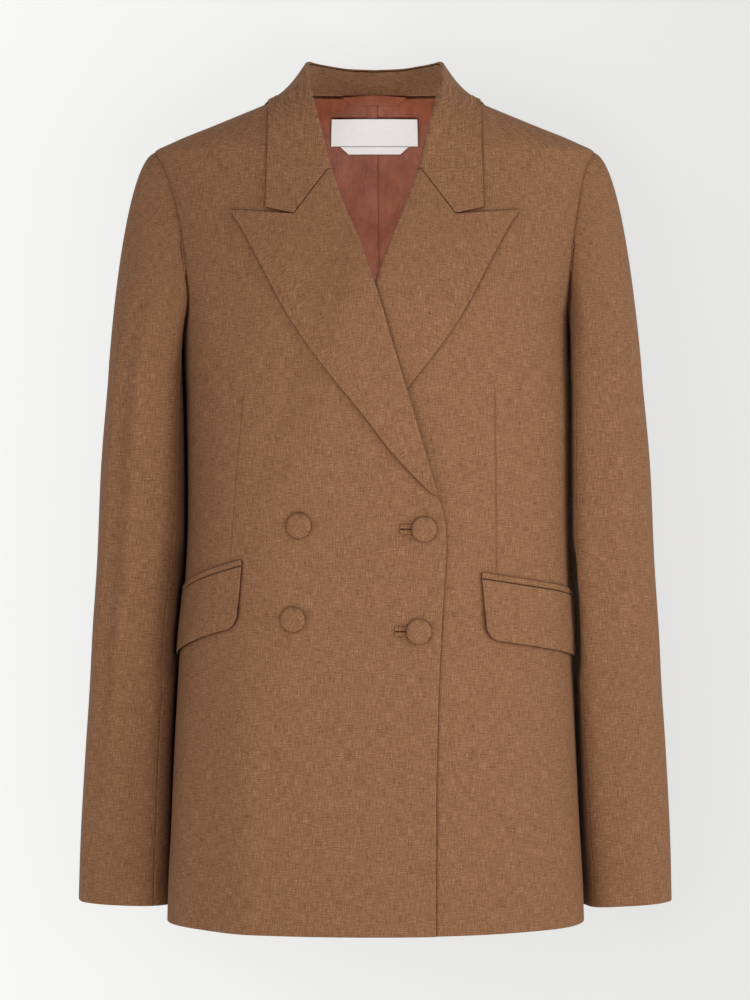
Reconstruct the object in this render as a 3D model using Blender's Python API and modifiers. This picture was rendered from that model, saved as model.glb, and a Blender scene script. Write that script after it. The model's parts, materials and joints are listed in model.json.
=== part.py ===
"""Double-breasted blazer with peak lapels, standing open as it is worn.

Metres, +Z up, the front faces -Y. The origin is midway between the two points where the shoulder
seams meet the neck, which is where a wearer's shoulders carry it. "Right" and "left" are the
wearer's: the right front lies on top and is at -X.

The body is a stack of horizontal rings (FORM). Every panel is a patch of that form, given by an
angle round the ring (0 at the centre front, 90 degrees at the side, 180 at the centre back) and a
height, and what lies on a panel is made from the same points, moved out.
"""

import math
from collections import namedtuple

import bmesh
import bpy
from mathutils import Vector

MM = 0.001

# ---- driving sizes -------------------------------------------------------------------------
HEM = -0.7475
HEM_RISE_AT_SIDE = 3.0 * MM
BREAK = -0.3653  # where the lapels start to turn, just above the top buttons
GORGE = -0.0765  # where the gorge seam meets the roll line
SHOULDER_POINT = -0.055
ARMPIT = -0.215
NECK_HALF_WIDTH = 0.070
BACK_NECK_RISE = 5.0 * MM

FRONT_WALL = 2.0 * MM  # cloth, canvas and facing
BACK_WALL = 1.8 * MM
SLEEVE_WALL = 1.6 * MM
TURNED_WALL = 1.8 * MM  # lapels and collar
LINING_WALL = 1.0 * MM
SEAM = 0.4 * MM
ROLL_RADIUS = 2.0 * MM
EDGE_GAP = 1.0 * MM

OVERLAP_LIFT = 2.9 * MM  # the right front over the left front
LAPEL_STACK_LIFT = 3.9 * MM  # more, over the left lapel
LIFT_STARTS = 0.054  # how far beyond the left front's edge the right front starts to rise
LIFT_ENDS = 0.009
STACK_STARTS = 0.020  # how far below the break it rises for the left lapel
STACK_ENDS = 0.014

BUTTON_RADIUS = 11.0 * MM
BUTTON_DEPTH = 4.2 * MM

Section = namedtuple("Section", "z half_width front_depth back_depth squareness")
FORM = [
    Section(-0.7600, 0.1866, 0.1180, 0.1100, 2.25),
    Section(-0.7180, 0.1862, 0.1178, 0.1110, 2.25),
    Section(-0.6640, 0.1846, 0.1175, 0.1110, 2.26),
    Section(-0.5920, 0.1815, 0.1170, 0.1100, 2.28),
    Section(-0.5380, 0.1778, 0.1160, 0.1070, 2.30),
    Section(-0.4840, 0.1755, 0.1150, 0.1030, 2.32),
    Section(-0.3800, 0.1690, 0.1145, 0.0950, 2.32),
    Section(-0.2800, 0.1700, 0.1210, 0.1040, 2.30),
    Section(-0.2150, 0.1740, 0.1235, 0.1115, 2.28),
    Section(-0.1600, 0.1835, 0.1130, 0.1140, 2.20),
    Section(-0.1100, 0.1915, 0.0935, 0.1120, 2.12),
    Section(-0.0765, 0.1962, 0.0790, 0.1065, 2.06),
    Section(-0.0550, 0.1980, 0.0700, 0.1015, 2.02),
    Section(-0.0460, 0.1820, 0.0670, 0.0985, 2.00),
    Section(-0.0300, 0.1430, 0.0625, 0.0920, 2.00),
    Section(-0.0142, 0.1045, 0.0570, 0.0850, 2.00),
    Section(0.0000, 0.0700, 0.0520, 0.0785, 2.00),
    Section(0.0120, 0.0440, 0.0480, 0.0760, 2.00),
]

# The armhole seam seen from the side: how far it lies in front of and behind the side seam.
Armhole = namedtuple("Armhole", "z front back")
ARMHOLE = [
    Armhole(-0.2150, 0.0000, 0.0000),
    Armhole(-0.2130, 0.0185, 0.0170),
    Armhole(-0.2065, 0.0370, 0.0360),
    Armhole(-0.1980, 0.0490, 0.0500),
    Armhole(-0.1850, 0.0545, 0.0585),
    Armhole(-0.1660, 0.0525, 0.0615),
    Armhole(-0.1475, 0.0490, 0.0600),
    Armhole(-0.1290, 0.0445, 0.0560),
    Armhole(-0.1110, 0.0390, 0.0500),
    Armhole(-0.0935, 0.0330, 0.0415),
    Armhole(-0.0765, 0.0260, 0.0310),
    Armhole(-0.0625, 0.0165, 0.0190),
    Armhole(-0.0550, 0.0000, 0.0000),
]

# The roll line of a lapel, and its outer edge. x is from the centre front to the lapel's own side.
Edge = namedtuple("Edge", "z x")
ROLL_LINE = [
    Edge(-0.3653, -0.0551),
    Edge(-0.3253, -0.0434),
    Edge(-0.2836, -0.0316),
    Edge(-0.2419, -0.0191),
    Edge(-0.2002, -0.0068),
    Edge(-0.1777, 0.0005),
    Edge(-0.1354, 0.0152),
    Edge(-0.1086, 0.0262),
    Edge(-0.0765, 0.0375),
]
LAPEL_EDGE = [
    Edge(-0.3653, -0.0533),
    Edge(-0.3594, -0.0468),
    Edge(-0.3499, -0.0373),
    Edge(-0.3362, -0.0246),
    Edge(-0.3204, -0.0110),
    Edge(-0.2993, 0.0048),
    Edge(-0.2558, 0.0393),
    Edge(-0.2180, 0.0675),
    Edge(-0.1932, 0.0825),
    Edge(-0.1586, 0.1005),
    Edge(-0.1260, 0.1180),
    Edge(-0.1115, 0.1275),
]
NOTCH = Edge(-0.1170, 0.0704)  # where the gorge seam ends and the collar parts from the lapel
COLLAR_CORNER = Edge(-0.1106, 0.0955)

FRONT_EDGE = [
    Edge(-0.7600, -0.0530),
    Edge(-0.6363, -0.0534),
    Edge(-0.5494, -0.0551),
    Edge(-0.4842, -0.0578),
    Edge(-0.4408, -0.0602),
    Edge(-0.4087, -0.0621),
    Edge(-0.3878, -0.0614),
    Edge(-0.3774, -0.0592),
    Edge(-0.3653, -0.0551),
]

# The front dart, a line on the panel: top and bottom.
Dart = namedtuple("Dart", "top bottom")
DARTS = {
    "right": Dart(Edge(-0.2605, 0.1122), Edge(-0.4150, 0.1240)),
    "left": Dart(Edge(-0.2605, 0.1052), Edge(-0.4280, 0.1070)),
}
DART_DEPTH = 1.0 * MM
DART_HALF_WIDTH = 2.6 * MM

# The collar: its fold line, from the centre back round to the gorge.
Fold = namedtuple("Fold", "share x y z")
FOLD = [
    Fold(0.00, 0.0000, 0.0840, 0.0288),
    Fold(0.10, 0.0235, 0.0805, 0.0294),
    Fold(0.20, 0.0425, 0.0690, 0.0310),
    Fold(0.30, 0.0565, 0.0480, 0.0318),
    Fold(0.40, 0.0595, 0.0240, 0.0285),
    Fold(0.50, 0.0594, 0.0000, 0.0200),
    Fold(0.60, 0.0587, -0.0225, 0.0080),
    Fold(0.70, 0.0555, -0.0410, -0.0085),
    Fold(0.80, 0.0502, -0.0575, -0.0282),
    Fold(0.90, 0.0442, -0.0675, -0.0515),
    Fold(1.00, 0.0385, -0.0762, -0.0765),
]
# The collar's outer edge. Behind the ridge it is given by an angle, in front of it by x.
LEAF_BACK_Z = -0.0225
LEAF_RIDGE_Z = -0.0098

Place = namedtuple("Place", "z x")
BUTTONS = {
    "button_right_upper": Place(-0.3895, -0.0645),
    "button_right_lower": Place(-0.4712, -0.0695),
    "button_front_upper": Place(-0.3925, 0.0425),
    "button_front_lower": Place(-0.4815, 0.0380),
}

# The pockets: height of the mouth at its front and back ends, and where they lie across.
Pocket = namedtuple("Pocket", "front_x front_z slope")
POCKETS = {
    "right": Pocket(0.1130, -0.4250, 0.240),
    "left": Pocket(0.0935, -0.4360, 0.150),
}
FLAP_LENGTH = 0.135
FLAP_DROP = 0.052
FLAP_CORNER = 0.012
FLAP_WALL = 2.0 * MM
WELT_DROP = 5.5 * MM
WELT_WALL = 1.4 * MM

# The sleeve below the armpit. Its inner wall follows the body's side at a clearance, but goes no
# further in than "inner". "middle" is how far back the sleeve's own middle hangs.
Sleeve = namedtuple("Sleeve", "z outer inner middle_right middle_left depth squareness")
SLEEVE = [
    Sleeve(-0.7285, 0.2655, 0.1810, 0.0400, 0.0300, 0.0435, 2.4),
    Sleeve(-0.6820, 0.2640, 0.1795, 0.0330, 0.0260, 0.0455, 2.5),
    Sleeve(-0.5920, 0.2595, 0.1755, 0.0210, 0.0190, 0.0500, 2.7),
    Sleeve(-0.5400, 0.2565, 0.1725, 0.0150, 0.0150, 0.0530, 2.8),
    Sleeve(-0.4840, 0.2540, 0.1690, 0.0090, 0.0090, 0.0560, 3.0),
    Sleeve(-0.4200, 0.2495, 0.1640, 0.0050, 0.0050, 0.0590, 3.4),
    Sleeve(-0.3400, 0.2460, 0.1600, 0.0030, 0.0030, 0.0615, 3.6),
    Sleeve(-0.2600, 0.2395, 0.1600, 0.0025, 0.0025, 0.0630, 3.6),
]
SLEEVE_CLEAR = 3.0 * MM
FLAP_CLEAR = 5.6 * MM
OUTER_SQUARENESS = 2.3
CUFF_TILT = 0.05
CAP_TOP_PULL = 0.075
CAP_SIDE_PULL = 0.050
CAP_BOTTOM_PULL = 0.020
CAP_GAP = 1.2 * MM
UNDERARM_LIFT = 0.6 * MM  # how far the sleeve starts off the body's form under the arm
UNDERARM_CLEAR = 1.8 * MM


# ---- reading the tables --------------------------------------------------------------------
def smooth_value(knots, at):
    """A monotone cubic through (key, value) knots."""
    if at <= knots[0][0]:
        return knots[0][1]
    if at >= knots[-1][0]:
        return knots[-1][1]
    index = max(i for i in range(len(knots) - 1) if knots[i][0] <= at)

    def rise(i):
        return (knots[i + 1][1] - knots[i][1]) / (knots[i + 1][0] - knots[i][0])

    def slope(i):
        if i == 0:
            return rise(0)
        if i == len(knots) - 1:
            return rise(i - 1)
        before, after = rise(i - 1), rise(i)
        return 0.0 if before * after <= 0 else 2 * before * after / (before + after)

    (k0, v0), (k1, v1) = knots[index], knots[index + 1]
    span = k1 - k0
    t = (at - k0) / span
    return (
        (2 * t**3 - 3 * t**2 + 1) * v0
        + (t**3 - 2 * t**2 + t) * span * slope(index)
        + (3 * t**2 - 2 * t**3) * v1
        + (t**3 - t**2) * span * slope(index + 1)
    )


def read(table, at, column):
    """One column of a table whose first column is the key."""
    return smooth_value([(row[0], getattr(row, column)) for row in table], at)


def smoothstep(low, high, value):
    t = min(1.0, max(0.0, (value - low) / (high - low)))
    return t * t * (3 - 2 * t)


def lerp(a, b, t):
    return a + (b - a) * t


# ---- the form ------------------------------------------------------------------------------
def section(z):
    return Section(z, *(read(FORM, z, column) for column in Section._fields[1:]))


def form_point(side, angle, z):
    """side is -1 on the wearer's right, 1 on the left. A negative angle is past the centre front."""
    ring = section(z)
    power = 2 / ring.squareness
    across, ahead = math.sin(angle), math.cos(angle)
    x = side * ring.half_width * math.copysign(abs(across) ** power, across)
    y = -ring.front_depth * ahead**power if ahead >= 0 else ring.back_depth * (-ahead) ** power
    return Vector((x, y, z))


def outward(side, angle, z):
    """The form's outward normal, taken over a few millimetres so that edges stay soft."""
    turn, rise = 0.04, 0.006
    round_it = form_point(side, angle + turn, z) - form_point(side, angle - turn, z)
    up_it = form_point(side, angle, z + rise) - form_point(side, angle, z - rise)
    normal = round_it.cross(up_it).normalized()
    here = form_point(side, angle, z)
    return normal if normal.dot(Vector((here.x, here.y, 0.02))) > 0 else -normal


def on_form(side, angle, z, lift):
    return form_point(side, angle, z) + outward(side, angle, z) * lift


def angle_at_x(x, z):
    """The front angle of a point x from the centre, towards the panel's own side."""
    ring = section(z)
    share = min(1.0, abs(x) / ring.half_width)
    return math.copysign(math.asin(share ** (ring.squareness / 2)), x)


def angle_at_depth(y, z):
    """The angle of a point y in front of (negative) or behind the side seam."""
    ring = section(z)
    depth = ring.front_depth if y < 0 else ring.back_depth
    turn = math.acos(min(1.0, abs(y) / depth) ** (ring.squareness / 2))
    return turn if y < 0 else math.pi - turn


def hem_z(z, angle):
    """The hem rises a little towards the sides."""
    near_hem = smoothstep(HEM + 0.10, HEM, z)
    return z + HEM_RISE_AT_SIDE * near_hem * math.sin(angle) ** 2


# ---- lifts: how far a panel's outer face stands off the form ------------------------------
def left_stack_x(z):
    """Where the left front's free edge or roll line is, as an x of the right front."""
    if z <= BREAK:
        return read(FRONT_EDGE, z, "x")
    return read(ROLL_LINE, z, "x")


def front_lift(side_name, x, z):
    """x is from the centre front towards the panel's own side."""
    if side_name == "left":
        return 0.0
    edge = -left_stack_x(z)
    over = smoothstep(edge + LIFT_STARTS, edge + LIFT_ENDS, x)
    stack = smoothstep(BREAK - STACK_STARTS, BREAK + STACK_ENDS, z)
    return over * (OVERLAP_LIFT + LAPEL_STACK_LIFT * stack)


# ---- making objects ------------------------------------------------------------------------
def new_material(name, colour, roughness, metallic=0.0):
    material = bpy.data.materials.new(name)
    material.use_nodes = True
    shader = material.node_tree.nodes["Principled BSDF"]
    shader.inputs["Base Color"].default_value = (*colour, 1.0)
    shader.inputs["Roughness"].default_value = roughness
    shader.inputs["Metallic"].default_value = metallic
    return material


def add_object(name, data, material):
    made = bpy.data.objects.new(name, data)
    data.materials.append(material)
    blazer.objects.link(made)
    return made


def surface_normals(rows, closed=False):
    """A normal at each point of a grid, by differences along its rows and across them."""
    result = []
    for j, row in enumerate(rows):
        below, above = rows[max(0, j - 1)], rows[min(len(rows) - 1, j + 1)]
        line = []
        for i in range(len(row)):
            if closed:
                left, right = i - 1, (i + 1) % len(row)
            else:
                left, right = max(0, i - 1), min(len(row) - 1, i + 1)
            line.append((row[right] - row[left]).cross(above[i] - below[i]).normalized())
        result.append(line)
    return result


def wall_mesh(name, outer, inner):
    """A closed wall between two grids of points, outer and inner face, with its four rims."""
    mesh = bmesh.new()
    grids = [[[mesh.verts.new(point) for point in row] for row in grid] for grid in (outer, inner)]
    top, under = grids
    for j in range(len(top) - 1):
        for i in range(len(top[0]) - 1):
            mesh.faces.new((top[j][i], top[j][i + 1], top[j + 1][i + 1], top[j + 1][i]))
            mesh.faces.new((under[j][i], under[j + 1][i], under[j + 1][i + 1], under[j][i + 1]))
    rim = [(0, i) for i in range(len(top[0]))]
    rim += [(j, len(top[0]) - 1) for j in range(1, len(top))]
    rim += [(len(top) - 1, i) for i in range(len(top[0]) - 2, -1, -1)]
    rim += [(j, 0) for j in range(len(top) - 2, 0, -1)]
    for (j0, i0), (j1, i1) in zip(rim, rim[1:] + rim[:1]):
        mesh.faces.new((top[j1][i1], top[j0][i0], under[j0][i0], under[j1][i1]))
    bmesh.ops.recalc_face_normals(mesh, faces=mesh.faces)
    data = bpy.data.meshes.new(name)
    mesh.to_mesh(data)
    mesh.free()
    data.shade_smooth()
    data.set_sharp_from_angle(angle=math.radians(50))
    return data


def cloth(name, rows, wall, material, normals=None):
    """A wall of cloth whose middle runs through the rows of points."""
    normals = normals or surface_normals(rows)
    half = wall / 2
    outer = [[p + n * half for p, n in zip(*pair)] for pair in zip(rows, normals)]
    inner = [[p - n * half for p, n in zip(*pair)] for pair in zip(rows, normals)]
    return add_object(name, wall_mesh(name, outer, inner), material)


# ---- fronts --------------------------------------------------------------------------------
# Each row of a front runs from its free edge or roll line to the side seam, armhole or shoulder.
Row = namedtuple("Row", "inner outer")
FRONT_ROWS = [
    Row(HEM, HEM),
    Row(-0.685, -0.685),
    Row(-0.620, -0.620),
    Row(-0.560, -0.560),
    Row(-0.500, -0.500),
    Row(-0.455, -0.455),
    Row(-0.425, -0.425),
    Row(-0.404, -0.404),
    Row(-0.385, -0.385),
    Row(BREAK, BREAK),
    Row(-0.3595, -0.3595),
    Row(-0.335, -0.330),
    Row(-0.300, -0.295),
    Row(-0.270, -0.268),
    Row(-0.243, -0.240),
    Row(-0.2150, -0.2150),
    Row(-0.2060, -0.2130),
    Row(-0.1970, -0.2065),
    Row(-0.1880, -0.1980),
    Row(-0.1790, -0.1850),
    Row(-0.1695, -0.1660),
    Row(-0.1600, -0.1475),
    Row(-0.1505, -0.1290),
    Row(-0.1410, -0.1110),
    Row(-0.1310, -0.0935),
    Row(-0.1215, -0.0765),
    Row(-0.1125, -0.0625),
    Row(-0.1050, SHOULDER_POINT),
    Row(-0.0980, -0.0420),
    Row(-0.0910, -0.0280),
    Row(-0.0840, -0.0140),
    Row(GORGE, -0.0015),
]
INNER_COLUMNS = {"right": 12, "left": 8}
OUTER_COLUMNS = 6


def front_inner_x(z):
    """The free edge below the break, and the cut behind the roll above it."""
    if z <= BREAK:
        return read(FRONT_EDGE, z, "x")
    behind = ROLL_RADIUS + TURNED_WALL / 2 + EDGE_GAP
    return read(ROLL_LINE, z, "x") + behind * 1.08


def side_depth(z):
    """Where a front or back panel ends: how far before or behind the side line."""
    if ARMPIT < z < SHOULDER_POINT:
        return max(SEAM / 2, read(ARMHOLE, z, "front"))
    return SEAM / 2


def dart_x(name, z):
    dart = DARTS[name]
    share = (z - dart.top.z) / (dart.bottom.z - dart.top.z)
    return lerp(dart.top.x, dart.bottom.x, min(1.0, max(0.0, share)))


def dart_share(name, z):
    """How far across its row the dart's column lies. Past its ends the column runs on."""
    dart = DARTS[name]
    at = min(dart.top.z, max(dart.bottom.z, z))
    inner = angle_at_x(front_inner_x(at), at)
    outer = math.pi / 2
    return (angle_at_x(dart_x(name, at), at) - inner) / (outer - inner)


def front_angle(row, share):
    """Angle and height across a row. Near the shoulder the columns are even in x instead."""
    z = lerp(row.inner, row.outer, share)
    inner_x = front_inner_x(row.inner)
    inner = angle_at_x(inner_x, row.inner)
    outer = angle_at_depth(-side_depth(row.outer), row.outer)
    outer_x = abs(form_point(1, outer, row.outer).x)
    by_angle = lerp(inner, outer, share)
    by_x = angle_at_x(lerp(inner_x, outer_x, share), z) if share < 1 else outer
    fan = smoothstep(-0.14, GORGE, row.inner)
    return lerp(by_angle, by_x, fan), z


def front_panel(name, material):
    side = -1 if name == "right" else 1
    rows, normals = [], []
    for row in FRONT_ROWS:
        dart_at = dart_share(name, row.inner)
        beside = DART_HALF_WIDTH / 0.22
        stops = [dart_at * i / INNER_COLUMNS[name] for i in range(INNER_COLUMNS[name])]
        stops += [dart_at - beside, dart_at, dart_at + beside]
        stops += [lerp(dart_at, 1.0, i / OUTER_COLUMNS) for i in range(1, OUTER_COLUMNS + 1)]
        points, outs = [], []
        for share in stops:
            angle, z = front_angle(row, share)
            x = abs(form_point(1, angle, z).x) * (1 if angle >= 0 else -1)
            lift = front_lift(name, x, z) - FRONT_WALL / 2
            if share == dart_at:
                lift -= DART_DEPTH * dart_fade(name, z)
            points.append(on_form(side, angle, hem_z(z, angle), lift))
            outs.append(outward(side, angle, z))
        rows.append(points)
        normals.append(outs)
    return cloth(f"front_{name}", rows, FRONT_WALL, material, normals)


def dart_fade(name, z):
    dart = DARTS[name]
    from_top = smoothstep(dart.top.z + 0.005, dart.top.z - 0.03, z)
    return from_top * smoothstep(dart.bottom.z - 0.02, dart.bottom.z, z)


# ---- backs and their lining ----------------------------------------------------------------
BACK_ROWS = [HEM, -0.680, -0.610, -0.540, -0.475, -0.415, -0.360, -0.305, -0.255]
BACK_ROWS += [row.z for row in ARMHOLE]
BACK_ROWS += [-0.0440, -0.0310, -0.0190, -0.0090, -0.0015]
BACK_COLUMNS = 8


def back_grid(side, bottom, columns, lift):
    """Rows of points of a back half, from the side to the centre back, and their normals."""
    rows, normals = [], []
    for z in [bottom] + [row for row in BACK_ROWS if row > bottom + 0.02]:
        inside_armhole = ARMPIT < z < SHOULDER_POINT
        depth = max(SEAM / 2, read(ARMHOLE, z, "back")) if inside_armhole else SEAM / 2
        outer = angle_at_depth(depth, z)
        centre = math.pi - SEAM / 2 / section(z).half_width
        points, outs = [], []
        for i in range(columns + 1):
            share = i / columns
            angle = lerp(outer, centre, share)
            near_top = smoothstep(-0.05, -0.0015, z)
            rise = BACK_NECK_RISE * math.sin(share * math.pi / 2) * near_top
            points.append(on_form(side, angle, hem_z(z, angle) + rise, lift))
            outs.append(outward(side, angle, z + rise))
        rows.append(points)
        normals.append(outs)
    return rows, normals


def back_panels(material):
    for name, side in (("right", -1), ("left", 1)):
        rows, normals = back_grid(side, HEM, BACK_COLUMNS, -BACK_WALL / 2)
        cloth(f"back_{name}", rows, BACK_WALL, material, normals)


LINING_BOTTOM = HEM + 0.025
LINING_LIFT = -BACK_WALL - SEAM - LINING_WALL / 2


def back_lining(material):
    for name, side in (("right", -1), ("left", 1)):
        rows, normals = back_grid(side, LINING_BOTTOM, BACK_COLUMNS, LINING_LIFT)
        cloth(f"back_lining_{name}", rows, LINING_WALL, material, normals)


# ---- lapels --------------------------------------------------------------------------------
ROLL_STEPS = 4
NOTCH_COLUMNS = 3
LAPEL_COLUMNS = 8
LAPEL_ROWS = 15
LAPEL_START = 0.035  # the lapel's first row, as a share of the way from the break to the gorge
LAPEL_LIE = 3.1 * MM  # from the middle of the front's wall to the lapel's


def roll_frame(side_name, z):
    """On the roll line: a point in the middle of the front's wall, the way back, and the way out."""
    side = -1 if side_name == "right" else 1
    x = read(ROLL_LINE, z, "x")
    step = 0.002
    angle = angle_at_x(x, z)
    above = angle_at_x(read(ROLL_LINE, z + step, "x"), z + step)
    below = angle_at_x(read(ROLL_LINE, z - step, "x"), z - step)
    lift = front_lift(side_name, x, z) - FRONT_WALL / 2
    along = (form_point(side, above, z + step) - form_point(side, below, z - step)).normalized()
    out = outward(side, angle, z)
    back = along.cross(out).normalized()
    back = back if back.x * side > 0 else -back
    return on_form(side, angle, z, lift), back, out, along


def roll_points(side_name, z):
    """Half a turn from behind the roll to its face."""
    radius = ROLL_RADIUS
    start, back, out, _ = roll_frame(side_name, z)
    points = []
    for i in range(ROLL_STEPS + 1):
        turn = lerp(-math.pi / 2, math.pi / 2, i / ROLL_STEPS)
        inward = TURNED_WALL / 2 + radius - radius * math.cos(turn)
        points.append(start + back * inward + out * (radius + radius * math.sin(turn)))
    return points


def resting(side_name, x, z, across):
    """A point of a lapel or collar lying on a front: high by the roll, close at its edge."""
    side = -1 if side_name == "right" else 1
    lie = lerp(LAPEL_LIE, 2 * ROLL_RADIUS, (1 - across) ** 2)
    lift = front_lift(side_name, x, z) - FRONT_WALL / 2 + lie
    return on_form(side, angle_at_x(x, z), z, lift)


def lapel_points(side_name, share):
    """One row of a lapel, from behind the roll, round it, and over the panel to the outer edge."""
    z = lerp(BREAK, GORGE, share)
    edge_z = lerp(LAPEL_EDGE[0].z, LAPEL_EDGE[-1].z, share)
    start_x = read(ROLL_LINE, z, "x") + TURNED_WALL / 2 + ROLL_RADIUS
    edge_x = read(LAPEL_EDGE, edge_z, "x")
    bend = smoothstep(0.55, 1.0, share)
    points = roll_points(side_name, z)
    for i in range(1, LAPEL_COLUMNS + 1):
        if i <= NOTCH_COLUMNS:
            part = i / NOTCH_COLUMNS
            bent = Edge(lerp(GORGE, NOTCH.z, part), lerp(start_x, NOTCH.x, part))
        else:
            part = (i - NOTCH_COLUMNS) / (LAPEL_COLUMNS - NOTCH_COLUMNS)
            bent = Edge(lerp(NOTCH.z, LAPEL_EDGE[-1].z, part), lerp(NOTCH.x, LAPEL_EDGE[-1].x, part))
        across = (bent.x - start_x) / (LAPEL_EDGE[-1].x - start_x) if bend > 0 else i / LAPEL_COLUMNS
        across = lerp(i / LAPEL_COLUMNS, across, bend)
        straight = Edge(lerp(z, edge_z, across), lerp(start_x, edge_x, across))
        end = Edge(lerp(GORGE, LAPEL_EDGE[-1].z, across), lerp(start_x, LAPEL_EDGE[-1].x, across))
        at_x = straight.x + (bent.x - end.x) * bend
        at_z = straight.z + (bent.z - end.z) * bend
        points.append(resting(side_name, at_x, at_z, across))
    return points


def lapels(material):
    for name in ("right", "left"):
        shares = [lerp(LAPEL_START, 1.0, i / LAPEL_ROWS) for i in range(LAPEL_ROWS + 1)]
        rows = [lapel_points(name, share) for share in shares]
        cloth(f"lapel_{name}", rows, TURNED_WALL, material)


# ---- collar --------------------------------------------------------------------------------
COLLAR_STATIONS = 14
COLLAR_ROLL_RADIUS = 1.3 * MM
LEAF_SAG = 3.2  # millimetres that the leaf hollows beside the neck
LEAF_COLUMNS = 6


def line_on_front(side, top, bottom, lift):
    """A fine line over a front from a point near the shoulder seam down to a lower one."""
    points = []
    for i in range(81):
        drop = (i / 80) ** 2
        z, x = lerp(top.z, bottom.z, drop), lerp(top.x, bottom.x, drop)
        points.append(on_form(side, angle_at_x(x, z), z, lift))
    lengths = [0.0]
    for first, second in zip(points, points[1:]):
        lengths.append(lengths[-1] + (second - first).length)
    return points, lengths


def neck_seam(side, share):
    """From the centre back (0) over the shoulder seam (0.5) to the gorge (1)."""
    if share <= 0.5:
        angle = lerp(math.pi, math.pi / 2, share / 0.5)
        rise = BACK_NECK_RISE * math.sin((0.5 - share) / 0.5 * math.pi / 2)
        return on_form(side, angle, rise, -BACK_WALL / 2)
    top, bottom = Edge(-0.0001, NECK_HALF_WIDTH), Edge(GORGE, front_inner_x(GORGE))
    points, lengths = line_on_front(side, top, bottom, -FRONT_WALL / 2)
    return Vector(along_line(points, lengths, (share - 0.5) / 0.5))


def fold_point(side, share):
    return Vector((side * read(FOLD, share, "x"), read(FOLD, share, "y"), read(FOLD, share, "z")))


def leaf_edge(side, share):
    """The collar's outer edge, resting on the back, the shoulder and the front."""
    lie = LAPEL_LIE - FRONT_WALL / 2
    if share <= 0.5:
        part = share / 0.5
        z = lerp(LEAF_BACK_Z, LEAF_RIDGE_Z, part**2)
        return on_form(side, lerp(math.pi, math.pi / 2, part), z, lie)
    top = Edge(LEAF_RIDGE_Z, section(LEAF_RIDGE_Z).half_width)
    points, lengths = line_on_front(side, top, COLLAR_CORNER, lie)
    return Vector(along_line(points, lengths, (share - 0.5) / 0.5))


def stand_clear(side, point, lie):
    """Moves a point out until it stands clear of the body's form."""
    for _ in range(3):
        if abs(point.x) >= section(point.z).half_width or point.z > 0:
            return point
        angle = angle_at_x(abs(point.x), point.z)
        if point.y > 0:
            share = min(1.0, abs(point.x) / section(point.z).half_width)
            angle = math.pi - math.asin(share ** (section(point.z).squareness / 2))
        out = outward(side, angle, point.z)
        gap = (point - form_point(side, angle, point.z)).dot(out)
        if gap >= lie:
            return point
        point = point + out * (lie - gap)
    return point


def collar_frame(side, share):
    """At the fold: the way up from the neck seam, and the way out from the neck."""
    seam, fold = neck_seam(side, share), fold_point(side, share)
    step = 0.01
    before, after = fold_point(side, max(0.0, share - step)), fold_point(side, min(1.0, share + step))
    along = (after - before).normalized()
    if share < step:
        along = Vector((side, 0, 0))
    up = fold - seam
    up = (up - along * up.dot(along)).normalized()
    out = up.cross(along).normalized() * side
    return seam, fold, up, out, leaf_edge(side, share)


def collar_row(side, share):
    """The fall of the collar, from the stand seam over the fold to its edge."""
    seam, fold, up, out, edge = collar_frame(side, share)
    radius = lerp(COLLAR_ROLL_RADIUS, ROLL_RADIUS, smoothstep(0.55, 0.95, share))
    centre = fold - up * radius + out * radius
    fall = []
    end_turn = lerp(0.12 * math.pi, 0.02 * math.pi, smoothstep(0.5, 0.8, share))
    for i in range(ROLL_STEPS + 1):
        turn = lerp(math.pi, end_turn, i / ROLL_STEPS)
        fall.append(centre + out * (radius * math.cos(turn)) + up * (radius * math.sin(turn)))
    last = fall[-1]
    way = (edge - last).normalized()
    sag = (out - way * out.dot(way)).normalized()
    sag *= lerp(1.0, LEAF_SAG, smoothstep(0.1, 0.4, share) * smoothstep(0.8, 0.6, share)) * MM
    for i in range(1, LEAF_COLUMNS + 1):
        part = i / LEAF_COLUMNS
        lie = lerp(LAPEL_LIE, 2 * ROLL_RADIUS, (1 - part) ** 2) - FRONT_WALL / 2
        fall.append(stand_clear(side, last.lerp(edge, part) - sag * math.sin(math.pi * part), lie))
    stand_top = fold - up * (radius + 2 * SEAM)
    return seam + up * SEAM, stand_top, fall


def collar_end(side):
    """The collar's last row, along the gorge seam to the notch and on to its own corner."""
    name = "right" if side < 0 else "left"
    shift = roll_frame(name, GORGE)[3] * (SEAM + 0.2 * MM)
    shift = shift if shift.z > 0 else -shift
    start_x = read(ROLL_LINE, GORGE, "x") + TURNED_WALL / 2 + ROLL_RADIUS
    points = roll_points(name, GORGE)
    for i in range(1, LEAF_COLUMNS + 1):
        if i <= NOTCH_COLUMNS:
            part = i / NOTCH_COLUMNS
            at = Edge(lerp(GORGE, NOTCH.z, part), lerp(start_x, NOTCH.x, part))
        else:
            part = (i - NOTCH_COLUMNS) / (LEAF_COLUMNS - NOTCH_COLUMNS)
            at = Edge(lerp(NOTCH.z, COLLAR_CORNER.z, part), lerp(NOTCH.x, COLLAR_CORNER.x, part))
        across = (at.x - start_x) / (LAPEL_EDGE[-1].x - start_x)
        points.append(resting(name, at.x, at.z, across))
    return [point + shift for point in points]


def collar(material):
    stand_rows, fall_rows = [], []
    for i in range(-COLLAR_STATIONS, COLLAR_STATIONS + 1):
        side = -1 if i < 0 else 1
        share = abs(i) / COLLAR_STATIONS
        if share == 1:
            fall_rows.append(collar_end(side))
            continue
        seam, stand_top, fall = collar_row(side, share)
        stand_rows.append([seam, seam.lerp(stand_top, 0.5), stand_top])
        fall_rows.append(fall)
    cloth("collar_stand", stand_rows, TURNED_WALL, material)
    cloth("collar", fall_rows, TURNED_WALL, material)


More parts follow.
